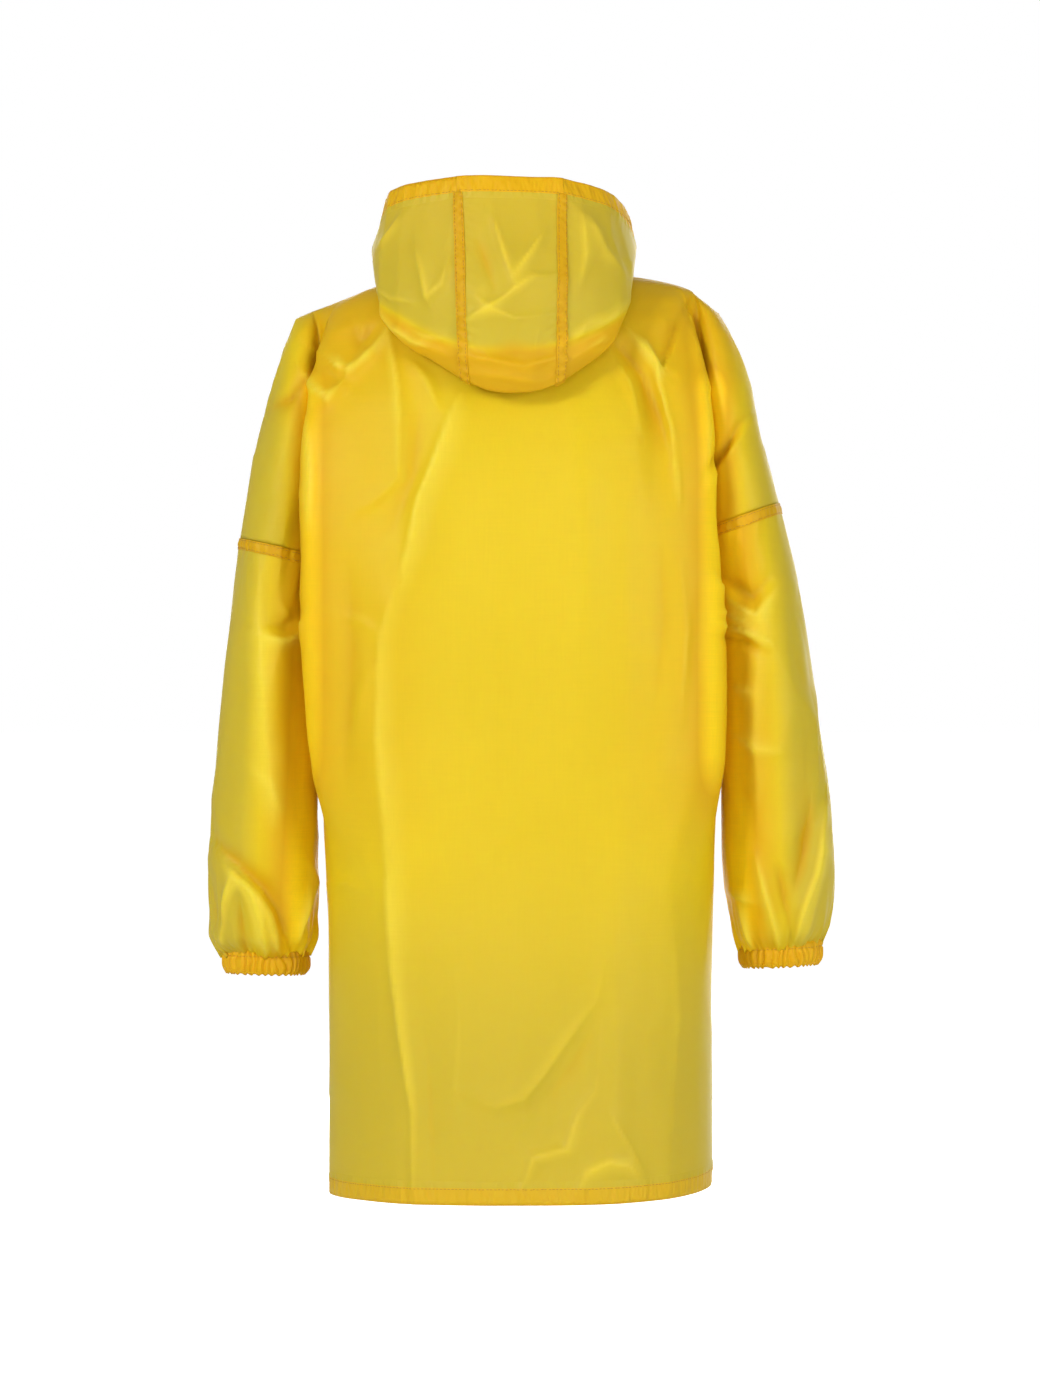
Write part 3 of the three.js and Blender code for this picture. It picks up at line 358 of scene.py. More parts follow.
# The crumple's hills, patches of creases and facets: how far apart they lie in mm, and their height.
BROAD_SPAN = np.array((60, 60, 170))
PATCH_SPAN = np.array((80, 80, 110))
PATCH_SHIFT = np.array((5, 0, 9))
FACET_SPAN = np.array((62, 62, 96))
BROAD_HEIGHT = 1.4
FACET_HEIGHT = 2.6
FACET_EDGE = 0.42
PATCH_SHARE = 0.35
BODY_CRUMPLE = 0.5
ARM_CRUMPLE = 1.6

# Places in mm that the painted light and shade follow: the hood's lower swag, painted deeper where the back
# lies behind it, the arms and the gaps beside them.
SWAG_X, SWAG_Z, SWAG_BOW = -10, -58, 0.0036
ARM_X, ARM_TOP_Z, ARM_LEAN, ARM_HALF = 214, -200, 0.05, 34
ARM_GAPS = (-188, 171)
ARM_GAP_WIDTH = 19
# Painted shade low on the hood, as mm taken off the relief, and the heights in mm over which it comes in.
HOOD_LOW_SHADE = 6
HOOD_LOW_SHADE_Z = (-46, -66)

# The seam between the hood and the body.
NECK_GAP = 6 * MM
NECK_FLAT = 11 * MM
NECK_TUCK = 2.5 * MM
HOOD_MIDDLE_X = -8 * MM
MIDDLE_SPREAD = 0.03
CORNER_WELD = 2.8 * MM

# The puckers and the dents of the stitches, and the gathers above a cuff, in mm and radians per mm.
PUCKER_REACH = 30 * MM
PUCKER_FADE = 9 * MM
PUCKER_SLANT = 0.6
PUCKER_WANDER = ((2.2, 23 * MM), (1.4, 9.1 * MM))
PUCKER_UNEVEN = 37 * MM
STITCH_DENT = 0.35 * MM
DENT_WIDTH = 1.6 * MM
SHORT_GATHER = (26, 84)
LONG_GATHER = (70, 112)
GATHER_HEIGHT = (0.55, 1.1)
GATHER_DRIFT = (-0.0035, 0.0035)
GATHER_WIDTH = (3.6, 5.6)
GATHER_RUN = 14
FINE_GATHER = 0.4
FINE_FADE = 8
DRAWN_IN = 3.2 * MM
DRAWN_FADE = 6
SLEEVE_END_RADIUS = 34
SLEEVE_FLARE = 0.28
SLEEVE_DROP = 9 * MM
DROP_FADE = 16
LEVEL_SHARE = 0.65


def path_distance(points, path):
    """For each point: its distance to a path, its place along it, its side of it, and the path's length."""
    best = np.full(len(points), np.inf)
    along = np.zeros(len(points))
    side = np.zeros(len(points))
    start = 0.0
    for a, b in zip(path[:-1], path[1:]):
        step = b - a
        length = float(np.linalg.norm(step))
        if length < 1e-9:
            continue
        t = np.clip((points - a) @ step / length**2, 0, 1)
        off = points - a - t[:, None] * step
        d = np.linalg.norm(off, axis=1)
        near = d < best
        best[near] = d[near]
        along[near] = start + t[near] * length
        if points.shape[1] == 2:
            side[near] = (step[0] * off[near, 1] - step[1] * off[near, 0]) / length
        start += length
    return best, along, side, start


def crease(q):
    """Height of a crisp crease at q widths from it: 1 on the crease, then a nearly straight slope."""
    return np.exp(-1.05 * (np.sqrt(q * q + 0.02) - 0.14)) * np.clip(1 - q / 4, 0, 1)


def smooth(value, low, high):
    """0 below low, 1 above high (or the other way round), with an easy run between them."""
    t = np.clip((value - low) / (high - low), 0, 1)
    return t * t * (3 - 2 * t)


def fold_heights(places, folds):
    """Height in mm of the cloth at (x, z) places in mm."""
    total = np.zeros(len(places))
    for fold in folds:
        path = np.array(fold.path, float)
        reach = 4 * max(fold.left, fold.right)
        near = np.all((places > path.min(0) - reach) & (places < path.max(0) + reach), axis=1)
        if not near.any():
            continue
        d, along, side, length = path_distance(places[near], path)
        width = np.where(side > 0, fold.left, fold.right)
        ease = np.clip(along / length, 0, 1)
        fade = np.sin(np.pi * (0.06 + 0.88 * ease)) ** 0.6
        total[near] += fold.height * fade * crease(d / width)
    return total * bpy.context.scene.raincoat_cloth.fold_strength


def sideways(normals_y):
    """How much a place belongs to the back and to the front, from its normal."""
    rear = smooth(normals_y, 0.5, -0.5)
    return rear, 1 - rear


def crumple_heights(points, height):
    """Small unevenness, longer down the coat than across it, with patches of crisp facets."""
    made = np.empty(len(points))
    for k, place in enumerate(points / MM):
        broad = noise.noise(Vector(place / BROAD_SPAN))
        patch = max(0.0, noise.noise(Vector(place / PATCH_SPAN + PATCH_SHIFT)) + PATCH_SHARE)
        first, second = noise.voronoi(Vector(place / FACET_SPAN))[0][:2]
        made[k] = BROAD_HEIGHT * broad - FACET_HEIGHT * patch * min((second - first) / FACET_EDGE, 1.0)
    return height * made


def painted_through_light_and_shade(node, points):
    """Painted light and shade of the thin cloth: towards 1 where cloth lies behind a place and shades it, up
    to 1.6 for painted light inside the sleeves and in the gaps beside them, towards -1 for the paler tone
    where daylight comes through.
    """
    x, _, z = (points / MM).T
    away = np.abs(x)
    if "hood" in node:
        # Painted shade below the hood's swag, where the back lies behind it, and painted pale light above it,
        # where daylight comes through the opening.
        above_swag = z - SWAG_Z - SWAG_BOW * (x - SWAG_X) ** 2
        return 1.0 * smooth(above_swag, 5, -7) - 0.9 * smooth(above_swag, -7, 9)
    if "sleeve" in node:
        # Painted shade towards the sleeve's inner side, then painted light where it meets the body; paler
        # towards its outer side.
        middle = ARM_X - ARM_LEAN * (z - ARM_TOP_Z)
        return np.clip(1.6 * (middle - away) / ARM_HALF + 0.2, -0.8, 1.6)
    # Painted shade at the back's sides and under the hood, a paler tone low on the back and on the upper
    # arms, and painted light in the gaps beside the arms.
    side = 0.45 * smooth(away, 50, 160) * smooth(z, -600, -400) * smooth(away, 205, 170)
    under_hood = 0.4 * smooth(z, -110, -30)
    arm = 0.8 * smooth(away, 184, 225)
    low = 0.85 * smooth(z, -440, -720)
    gaps = sum(np.exp(-(((x - gap) / ARM_GAP_WIDTH) ** 2)) for gap in ARM_GAPS)
    gaps *= 1.1 * smooth(z, -50, -90) * smooth(z, -500, -400)
    return np.clip(side + under_hood - low - arm + gaps, -1, 1.6)


def pucker_heights(points, seams):
    """Puckers along the stitched lines, with the stitches pulled in a little."""
    sewing = bpy.context.scene.raincoat_sewing
    total = np.zeros(len(points))
    for path in seams:
        low, high = path.min(0) - PUCKER_REACH, path.max(0) + PUCKER_REACH
        near = np.all((points > low) & (points < high), axis=1)
        if not near.any():
            continue
        d, along, _, _ = path_distance(points[near], path)
        turn = 2 * np.pi * (along + PUCKER_SLANT * d) / sewing.pucker_pitch
        wave = np.sin(turn + sum(size * np.sin(along / span) for size, span in PUCKER_WANDER))
        uneven = 0.65 + 0.35 * np.sin(along / PUCKER_UNEVEN + 1.3)
        total[near] += sewing.pucker * uneven * wave * np.exp(-((d / PUCKER_FADE) ** 1.3))
        total[near] -= STITCH_DENT * np.exp(-((d / DENT_WIDTH) ** 2))
    return total


def gather_heights(points, cuff):
    """Gathers that fan up a sleeve from its cuff."""
    settings = bpy.context.scene.raincoat_cuffs
    rng = random.Random(cuff.seed)
    x, y, z = (points / MM).T
    angle = np.arctan2((y - cuff.y) / cuff.half_depth, (x - cuff.x) / cuff.half_width)
    up = z - cuff.z - cuff.tilt * (x - cuff.x)
    raised = np.clip(up, 0, None)
    total = np.zeros(len(points))
    for k in range(settings.sleeve_gathers):
        centre = 2 * math.pi * (k + rng.uniform(-0.3, 0.3)) / settings.sleeve_gathers
        reach = rng.uniform(*(SHORT_GATHER if k % 3 else LONG_GATHER))
        height = rng.uniform(*GATHER_HEIGHT)
        drift = rng.uniform(*GATHER_DRIFT)
        width = rng.uniform(*GATHER_WIDTH)
        share = np.clip(up / reach, 0, 1)
        off = (angle - centre - drift * up + math.pi) % (2 * math.pi) - math.pi
        arc = off * (SLEEVE_END_RADIUS + SLEEVE_FLARE * np.clip(up, 0, 120))
        total += height * (1 - share) ** 1.2 * crease(np.abs(arc) / (width * (1 + 1.3 * share)))
    turn = settings.gathers * angle + 1.5 * np.sin(3 * angle)
    fine = FINE_GATHER * np.cos(turn) * np.exp(-raised / FINE_FADE)
    sewn = np.clip(up / GATHER_RUN, 0.2, 1)
    drawn_in = DRAWN_IN * np.exp(-raised / DRAWN_FADE)
    return settings.sleeve_gather_depth * (total * sewn + fine) - drawn_in


# The cloth's mesh.


def islands(faces):
    """A set of faces, as lists of faces that hang together."""
    left = set(faces)
    found = []
    while left:
        todo = [left.pop()]
        island = []
        while todo:
            face = todo.pop()
            island.append(face)
            for edge in face.edges:
                for other in edge.link_faces:
                    if other in left:
                        left.discard(other)
                        todo.append(other)
        found.append(island)
    return found


def outer_skin(node):
    """The outer side of one of the frame's cloth walls, as quads."""
    low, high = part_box(node)
    axis = (low + high) / 2 if "sleeve" in node or "armhole" in node else Vector((0, 0, 0))
    bm = bmesh.new()
    bm.from_mesh(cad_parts[node].data)
    bmesh.ops.remove_doubles(bm, verts=bm.verts, dist=WELD)
    narrow = {f for f in bm.faces if any(WALL_RANGE[0] < e.calc_length() < WALL_RANGE[1] for e in f.edges)}

    def facing_out(faces):
        total = 0.0
        for face in faces:
            away = face.calc_center_median() - axis
            total += face.calc_area() * face.normal.to_2d().dot(away.to_2d().normalized())
        return total

    outer = set(max(islands(set(bm.faces) - narrow), key=facing_out))
    inner = {v for face in bm.faces if face not in outer and face not in narrow for v in face.verts}
    bm.normal_update()
    wall = BVHTree.FromBMesh(bm)

    def beside_skin(face):
        """Whether a narrow face touches the outer skin and has only the thin wall behind it."""
        start = face.calc_center_median() - WELD * face.normal
        through = wall.ray_cast(start, -face.normal, 2 * WALL_RANGE[1])[0]
        return through and any(other in outer for edge in face.edges for other in edge.link_faces)

    added = outer
    while added:
        added = {f for f in narrow - outer if not inner.intersection(f.verts) and beside_skin(f)}
        outer |= added
    bmesh.ops.delete(bm, geom=[face for face in bm.faces if face not in outer], context="FACES")
    if node in ("hood_left", "hood_right"):
        bmesh.ops.remove_doubles(bm, verts=[v for v in bm.verts if v.is_boundary], dist=CORNER_WELD)
    bmesh.ops.join_triangles(
        bm, faces=bm.faces, cmp_seam=False, cmp_sharp=False, cmp_uvs=False, cmp_vcols=False,
        cmp_materials=False, angle_face_threshold=math.pi, angle_shape_threshold=math.pi,
    )
    return bm


def edge_rings(bm):
    """The edges of a bmesh, as rings of edges that lie opposite each other across quads."""
    seen = set()
    rings = []
    for first in bm.edges:
        if first in seen:
            continue
        seen.add(first)
        ring, todo = [], [first]
        while todo:
            edge = todo.pop()
            ring.append(edge)
            for face in edge.link_faces:
                if len(face.edges) != 4:
                    continue
                other = face.edges[(list(face.edges).index(edge) + 2) % 4]
                if other not in seen:
                    seen.add(other)
                    todo.append(other)
        rings.append(ring)
    return rings


def refine(bm, cell, level=1.0):
    """Halves the long rings of quads until their edges are about a cell long, or level cells where level."""
    long = [True]
    while long:
        long = []
        for ring in edge_rings(bm):
            mean = sum(e.calc_length() for e in ring) / len(ring)
            rise = sum(abs(e.verts[0].co.z - e.verts[1].co.z) for e in ring) / len(ring)
            if mean > LONGEST * cell * (level if rise < 0.5 * mean else 1):
                long += ring
        if long:
            bmesh.ops.subdivide_edges(bm, edges=long, cuts=1, use_grid_fill=True)


def smoothed(bm, name):
    """A mesh of the bmesh after smooth subdivision."""
    form = mesh_from(bm, name)
    carrier = bpy.data.objects.new(name, form)
    bpy.context.scene.collection.objects.link(carrier)
    modifier = carrier.modifiers.new("Round", "SUBSURF")
    modifier.levels = modifier.render_levels = SUBDIVISIONS
    modifier.boundary_smooth = "PRESERVE_CORNERS"
    made = bpy.data.meshes.new_from_object(carrier.evaluated_get(bpy.context.evaluated_depsgraph_get()))
    bpy.data.objects.remove(carrier)
    bpy.data.meshes.remove(form)
    made.name = name
    return made


def mesh_from(bm, name):
    """A mesh of the bmesh, which is freed."""
    mesh = bpy.data.meshes.new(name)
    bm.to_mesh(mesh)
    bm.free()
    return mesh


def read_points(mesh):
    """The points and the normals of a mesh, as arrays."""
    points = np.empty(len(mesh.vertices) * 3)
    normals = np.empty(len(mesh.vertices) * 3)
    mesh.vertices.foreach_get("co", points)
    mesh.vertices.foreach_get("normal", normals)
    return points.reshape(-1, 3), normals.reshape(-1, 3)


def edge_place(edge):
    """Where an edge is, as numbers that put edges in the same order in every run."""
    return tuple(edge.verts[0].co + edge.verts[1].co)


def boundary_chains(bm, corner=math.radians(62)):
    """The edges round a strip of cloth, as paths that end at its corners, or whole where it has none."""
    edges = {e for e in bm.edges if len(e.link_faces) == 1}
    chains = []
    while edges:
        edge = min(edges, key=edge_place)
        edges.discard(edge)
        loop = sorted(edge.verts, key=lambda v: tuple(v.co))
        while True:
            following = [e for e in loop[-1].link_edges if e in edges]
            if not following:
                break
            edges.discard(following[0])
            loop.append(following[0].other_vert(loop[-1]))
        places = [v.co.copy() for v in loop[:-1]]
        count = len(places)
        turns = []
        for k in range(count):
            before = places[k] - places[k - 1]
            after = places[(k + 1) % count] - places[k]
            if before.angle(after) > corner:
                turns.append(k)
        if len(turns) < 2:
            chains.append(places + places[:1])
            continue
        for first, last in zip(turns, turns[1:] + [turns[0] + count]):
            chains.append([places[k % count] for k in range(first, last + 1)])
    return chains


def path_length(path):
    """The length of a path."""
    return float(np.linalg.norm(np.diff(path, axis=0), axis=1).sum())


def mean_height(path):
    """The mean height of a path's points."""
    return path[:, 2].mean()


def resampled(path, spacing):
    """Evenly spaced points along a path, as an array."""
    path = np.array(path, float)
    steps = np.concatenate([[0], np.cumsum(np.linalg.norm(np.diff(path, axis=0), axis=1))])
    count = max(2, round(steps[-1] / spacing) + 1)
    at = np.linspace(0, steps[-1], count)
    return np.stack([np.interp(at, steps, path[:, k]) for k in range(3)], axis=1)


def rails(node):
    """The two long edges of a strip of cloth, the lower one first."""
    bm = outer_skin(node)
    chains = sorted(boundary_chains(bm), key=path_length)[-2:]
    bm.free()
    return sorted((resampled(c, RAIL_SPACING) for c in chains), key=mean_height)


def between(low, high, share):
    """The path that runs at a share of the way from one rail to the other."""
    made = []
    for p in low:
        gaps = np.linalg.norm(high - p, axis=1)
        made.append(p + share * (high[gaps.argmin()] - p))
    return np.array(made)


def rim_edge(node):
    """The edge of a hood panel that lies on the face opening: its highest one that isn't just a corner."""
    bm = outer_skin(node)
    chains = [resampled(c, RAIL_SPACING) for c in boundary_chains(bm)]
    bm.free()
    return max((c for c in chains if path_length(c) > 30 * MM), key=mean_height)


def search_tree(places):
    """A tree that finds the nearest of some places."""
    tree = KDTree(len(places))
    for k, place in enumerate(places):
        tree.insert(place, k)
    tree.balance()
    return tree


def edge_places(cloths):
    """All the points on the edges of some pieces of cloth."""
    found = []
    for cloth in cloths:
        bm = outer_skin(cloth.node)
        found += [v.co.copy() for v in bm.verts if v.is_boundary]
        bm.free()
    return found


def neck_places():
    """The points along the seam between the hood and the body, as a tree to search."""
    hood, body = edge_places(HOOD_CLOTHS), edge_places(BODY_CLOTHS)
    near = []
    for places, others in ((hood, search_tree(body)), (body, search_tree(hood))):
        near += [place for place in places if others.find(place)[2] < NECK_GAP]
    return search_tree(near)


def seam_paths():
    """All the stitched lines of the coat, by the node that they run along."""
    paths = {}
    for cloth in HEM_CLOTHS + BAND_CLOTHS:
        low, high = rails(cloth.node)
        paths[cloth.node] = [between(low, high, share) for share in stitch_shares(cloth.node)]
    return paths


def stitch_shares(node):
    """Where the rows of stitches lie between the two long edges of a folded band."""
    if "hem" in node:
        return (0.93,)
    return (0.08,) if node == "hood_rim" else (0.14, 0.86)


SEAMS = seam_paths()
SEAM_LINES = [path for paths in SEAMS.values() for path in paths]
HEM_EDGES = [rails(cloth.node)[0] for cloth in HEM_CLOTHS]
RIM_EDGES = [rim_edge(cloth.node) for cloth in HOOD_CLOTHS]
NECK = neck_places()
FORMS = {}


def near_neck(points):
    """1 on the seam between the hood and the body, falling to 0 about 20 mm from it."""
    near = np.zeros(len(points))
    for k in np.flatnonzero((points[:, 2] > -80 * MM) & (np.abs(points[:, 0]) < 120 * MM)):
        near[k] = math.exp(-((NECK.find(points[k])[2] / NECK_FLAT) ** 2))
    return near


def shape_heights(node, points, normals):
    """How far each point of a piece of cloth moves out, and the relief that its painted highlights and shade
    follow, in metres.
    """
    places = points[:, [0, 2]] / MM
    rear, fore = sideways(normals[:, 1])
    if "hood" in node:
        folds = rear * fold_heights(places, HOOD_FOLDS) * MM
        # Painted shade on the hood's lower part, which faces down: it deepens the tone, not the form.
        hood_low_shade = HOOD_LOW_SHADE * MM * smooth(places[:, 1], *HOOD_LOW_SHADE_Z)
        share = ARM_CRUMPLE
    else:
        folds = (rear * fold_heights(places, REAR_FOLDS) + fore * fold_heights(places, FORE_FOLDS)) * MM
        hood_low_shade = 0
        share = BODY_CRUMPLE + (ARM_CRUMPLE - BODY_CRUMPLE) * smooth(np.abs(places[:, 0]), 170, 200)
    for cuff in CUFFS:
        if node == f"sleeve_{cuff.side}":
            folds += gather_heights(points, cuff)
    crumple = crumple_heights(points, share * bpy.context.scene.raincoat_cloth.crumple)
    heights = (1 - near_neck(points)) * (folds + crumple) + pucker_heights(points, SEAM_LINES)
    return heights, folds + 0.5 * crumple - hood_low_shade


def made_piece(name, mesh, material, replaced=()):
    """A finished piece that rides on the coat."""
    for polygon in mesh.polygons:
        polygon.use_smooth = True
    piece = bpy.data.objects.new(name, mesh)
    bpy.context.scene.collection.objects.link(piece)
    mesh.materials.clear()
    mesh.materials.append(material)
    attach(piece, "root")
    if replaced:
        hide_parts(*replaced)
    return piece


def settled(cloth, points, moved):
    """Brings the ends of a piece of cloth to the pieces that they are sewn to."""
    for cuff in CUFFS:
        if cloth.node == f"sleeve_{cuff.side}":
            up = np.clip(points[:, 2] / MM - cuff.z, 0, None)
            moved[:, 2] -= SLEEVE_DROP * np.exp(-up / DROP_FADE)
    if cloth in HOOD_CLOTHS:
        moved[:, 2] -= NECK_TUCK * near_neck(points)
    if cloth.node == "hood_middle":
        moved[:, 0] += MIDDLE_SPREAD * (points[:, 0] - HOOD_MIDDLE_X)
    return moved


def cloth_piece(cloth, material):
    """One piece of cloth: the frame's wall as a thin shell with its folds, puckers and gathers."""
    bm = outer_skin(cloth.node)
    refine(bm, cloth.cell * MM, LEVEL_SHARE if "sleeve" in cloth.node else 1)
    mesh = smoothed(bm, cloth.node)
    points, normals = read_points(mesh)
    heights, shade_relief = shape_heights(cloth.node, points, normals)
    moved = settled(cloth, points, points + (heights + cloth.lift * MM)[:, None] * normals)
    mesh.vertices.foreach_set("co", moved.ravel())
    edge = np.full(len(points), FAR)
    for path in RIM_EDGES if cloth in HOOD_CLOTHS else HEM_EDGES:
        edge = np.minimum(edge, path_distance(points, path)[0])
    # Painted light and shade through the cloth, kept on the mesh for the material.
    through_light_and_shade = painted_through_light_and_shade(cloth.node, points)
    # The relief carries the painted highlights and shade of the folds.
    for name, values in (("shade_relief", shade_relief / MM), ("through_light_and_shade", through_light_and_shade), ("fold_edge", edge)):
        mesh.attributes.new(name, "FLOAT", "POINT").data.foreach_set("value", values)
    mesh.update()
    piece = made_piece(f"{cloth.node}_cloth", mesh, material, [cloth.node])
    shell = piece.modifiers.new("Cloth", "SOLIDIFY")
    shell.thickness = bpy.context.scene.raincoat_cloth.thickness
    shell.offset = -1
    FORMS[cloth.node] = BVHTree.FromPolygons(
        [Vector(p) for p in moved], [tuple(f.vertices) for f in mesh.polygons]
    )
    return piece


# Materials.


def new_material(name):
    """A new material with its node tree and its main shader."""
    material = bpy.data.materials.new(name)
    material.use_nodes = True
    return material, material.node_tree, material.node_tree.nodes["Principled BSDF"]


def put(tree, socket, value):
    """Gives a socket a plain value or links it."""
    if isinstance(value, bpy.types.NodeSocket):
        tree.links.new(value, socket)
    else:
        socket.default_value = value


def object_place(tree):
    """Places in the object's own coordinates."""
    return tree.nodes.new("ShaderNodeTexCoord").outputs["Object"]


def attribute(tree, name):
    """The value of an attribute of the mesh."""
    node = tree.nodes.new("ShaderNodeAttribute")
    node.attribute_name = name
    return node.outputs["Fac"]


def worked(tree, operation, first, second):
    """One step of arithmetic."""
    node = tree.nodes.new("ShaderNodeMath")
    node.operation = operation
    put(tree, node.inputs[0], first)
    put(tree, node.inputs[1], second)
    return node.outputs[0]


def stretched(tree, place, scale, turn=(0, 0, 0)):
    """Places turned and stretched."""
    node = tree.nodes.new("ShaderNodeMapping")
    node.inputs["Rotation"].default_value = turn
    node.inputs["Scale"].default_value = scale
    tree.links.new(place, node.inputs["Vector"])
    return node.outputs["Vector"]


def cloudy(tree, place, scale, detail=1):
    """Soft noise between 0 and 1."""
    node = tree.nodes.new("ShaderNodeTexNoise")
    node.inputs["Detail"].default_value = detail
    put(tree, node.inputs["Scale"], scale)
    tree.links.new(place, node.inputs["Vector"])
    return node.outputs["Fac"]


def bumped(tree, height, strength, distance, normal=None):
    """A normal that follows a height."""
    node = tree.nodes.new("ShaderNodeBump")
    node.inputs["Strength"].default_value = strength
    node.inputs["Distance"].default_value = distance
    tree.links.new(height, node.inputs["Height"])
    if normal:
        tree.links.new(normal, node.inputs["Normal"])
    return node.outputs["Normal"]


def weave_group():
    """Fine plain weave and slow drifts of tone, as a height, a shade and a tone."""
    group = bpy.data.node_groups.get("Plain Weave")
    if group:
        return group
    group = bpy.data.node_groups.new("Plain Weave", "ShaderNodeTree")
    for name, value in (("Thread", 900), ("Drift", 4.5)):
        group.interface.new_socket(name, in_out="INPUT", socket_type="NodeSocketFloat").default_value = value
    for name in ("Height", "Shade", "Tone"):
        group.interface.new_socket(name, in_out="OUTPUT", socket_type="NodeSocketFloat")
    entry = group.nodes.new("NodeGroupInput").outputs
    out = group.nodes.new("NodeGroupOutput").inputs
    place = object_place(group)
    warp, weft = (
        cloudy(group, stretched(group, place, scale), entry["Thread"])
        for scale in ((1, 1, 0.03), (0.03, 0.03, 1))
    )
    weave = worked(group, "ADD", warp, weft)
    group.links.new(weave, out["Height"])
    group.links.new(ranged(group, weave, 0.7, 1.3), out["Shade"])
    group.links.new(cloudy(group, place, entry["Drift"]), out["Tone"])
    return group


def mixed(tree, factor, first, second):
    """A colour between two, by a factor."""
    mix = tree.nodes.new("ShaderNodeMix")
    mix.data_type = "RGBA"
    for number, value in ((0, factor), (6, first), (7, second)):
        put(tree, mix.inputs[number], value)
    return mix.outputs[2]


def ranged(tree, value, low, high, to_low=0.0, to_high=1.0):
    """A value mapped from one range to another."""
    node = tree.nodes.new("ShaderNodeMapRange")
    for name, number in (("From Min", low), ("From Max", high), ("To Min", to_low), ("To Max", to_high)):
        node.inputs[name].default_value = number
    tree.links.new(value, node.inputs["Value"])
    return node.outputs["Result"]


def toned(colour, share):
    """A colour times a share."""
    return (*(c * share for c in colour[:3]), 1.0)


def cloth_material(name, base, deep, pale, doubling):
    """Thin rain cloth with a soft sheen. doubling tells whether its folded edges show deeper."""
    roughness = bpy.context.scene.raincoat_cloth.roughness
    material, tree, shader = new_material(name)
    weave = tree.nodes.new("ShaderNodeGroup")
    weave.node_tree = weave_group()
    colour = mixed(tree, ranged(tree, weave.outputs["Tone"], 0.36, 0.78), tuple(base), toned(base, 0.93))
    # Painted light inside the sleeves and beside the arms: a lighter orange than the cloth.
    painted_light_beside_arm = (*(0.71 * (b + d) for b, d in zip(base[:3], deep[:3])), 1.0)
    # Each tint of painted light or shade follows an attribute of the mesh, comes in between two of its values
    # and goes up to a share.
    for source, low, high, share, tint in (
        # Painted shade where cloth lies behind, painted light beside the arms, and the paler painted light
        # where daylight comes through.
        ("through_light_and_shade", 0, 1, 1.0, toned(deep, 0.97)),
        ("through_light_and_shade", 1, 1.6, 1.0, painted_light_beside_arm),
        ("through_light_and_shade", 0, -1, 1.0, tuple(pale)),
        # Painted highlights on the folds' crests and painted shade in their troughs.
        ("shade_relief", 1.5, 5.0, 0.7, toned(pale, 1.55)),
        ("shade_relief", -1.0, -5.5, 1.0, toned(deep, 0.86)),
    ):
        colour = mixed(tree, ranged(tree, attribute(tree, source), low, high, 0.0, share), colour, tint)
    thread_shade = ranged(tree, weave.outputs["Shade"], 0, 1, 0.0, 0.16)
    colour = mixed(tree, thread_shade, colour, toned(base, 0.8))
    puckers = None
    if doubling:
        edge = attribute(tree, "fold_edge")
        place = object_place(tree)
        height = tree.nodes.new("ShaderNodeSeparateXYZ")
        tree.links.new(place, height.inputs["Vector"])
        depth = ranged(tree, height.outputs["Z"], -0.5, -0.2, HEM_DEEPNESS, 1.0)
        doubled = worked(tree, "MULTIPLY", worked(tree, "LESS_THAN", edge, FOLD_WIDTH), depth)
        colour = mixed(tree, doubled, colour, tuple(deep))
        streaks = cloudy(tree, stretched(tree, place, (150, 150, 34), (0, 0.6, 0)), 1)
        held = worked(tree, "MULTIPLY", streaks, ranged(tree, edge, 0.021, 0.014))
        puckers = bumped(tree, held, 0.8, 3 * MM)
    tree.links.new(colour, shader.inputs["Base Color"])
    sheen = ranged(tree, weave.outputs["Tone"], 0.3, 0.7, roughness - 0.05, roughness + 0.08)
    tree.links.new(sheen, shader.inputs["Roughness"])
    tree.links.new(bumped(tree, weave.outputs["Height"], 0.15, 0.2 * MM, puckers), shader.inputs["Normal"])
    for socket, value in (
        ("Subsurface Weight", 0.6),
        ("Subsurface Radius", (1.0, 0.7, 0.12)),
        ("Subsurface Scale", 1.2 * MM),
        ("IOR", 1.36),
        ("Specular IOR Level", 0.3),
    ):
        shader.inputs[socket].default_value = value
    return material


def coat_material():
    """The single cloth of the panels."""
    settings = bpy.context.scene.raincoat_cloth
    return bpy.data.materials.get("rain cloth") or cloth_material(
        "rain cloth", settings.colour, settings.doubled_and_shade_colour, settings.pale_colour, True
    )


def doubled_material():
    """The cloth of the bands, seams and cuffs, where it lies double."""
    deep = bpy.context.scene.raincoat_cloth.doubled_and_shade_colour
    return bpy.data.materials.get("doubled rain cloth") or cloth_material(
        "doubled rain cloth", deep, deep, toned(deep, 0.86), False
    )


def thread_material():
    """Sewing thread with its twist."""
    material = bpy.data.materials.get("sewing thread")
    if material:
        return material
    material, tree, shader = new_material("sewing thread")
    twist = tree.nodes.new("ShaderNodeTexWave")
    twist.bands_direction = "DIAGONAL"
    twist.inputs["Scale"].default_value = 900
    tree.links.new(object_place(tree), twist.inputs["Vector"])
    colour = bpy.context.scene.raincoat_sewing.thread_colour
    twisted = mixed(tree, twist.outputs["Fac"], tuple(colour), toned(colour, 0.7))
    put(tree, shader.inputs["Base Color"], twisted)
    shader.inputs["Roughness"].default_value = 0.6
    return material


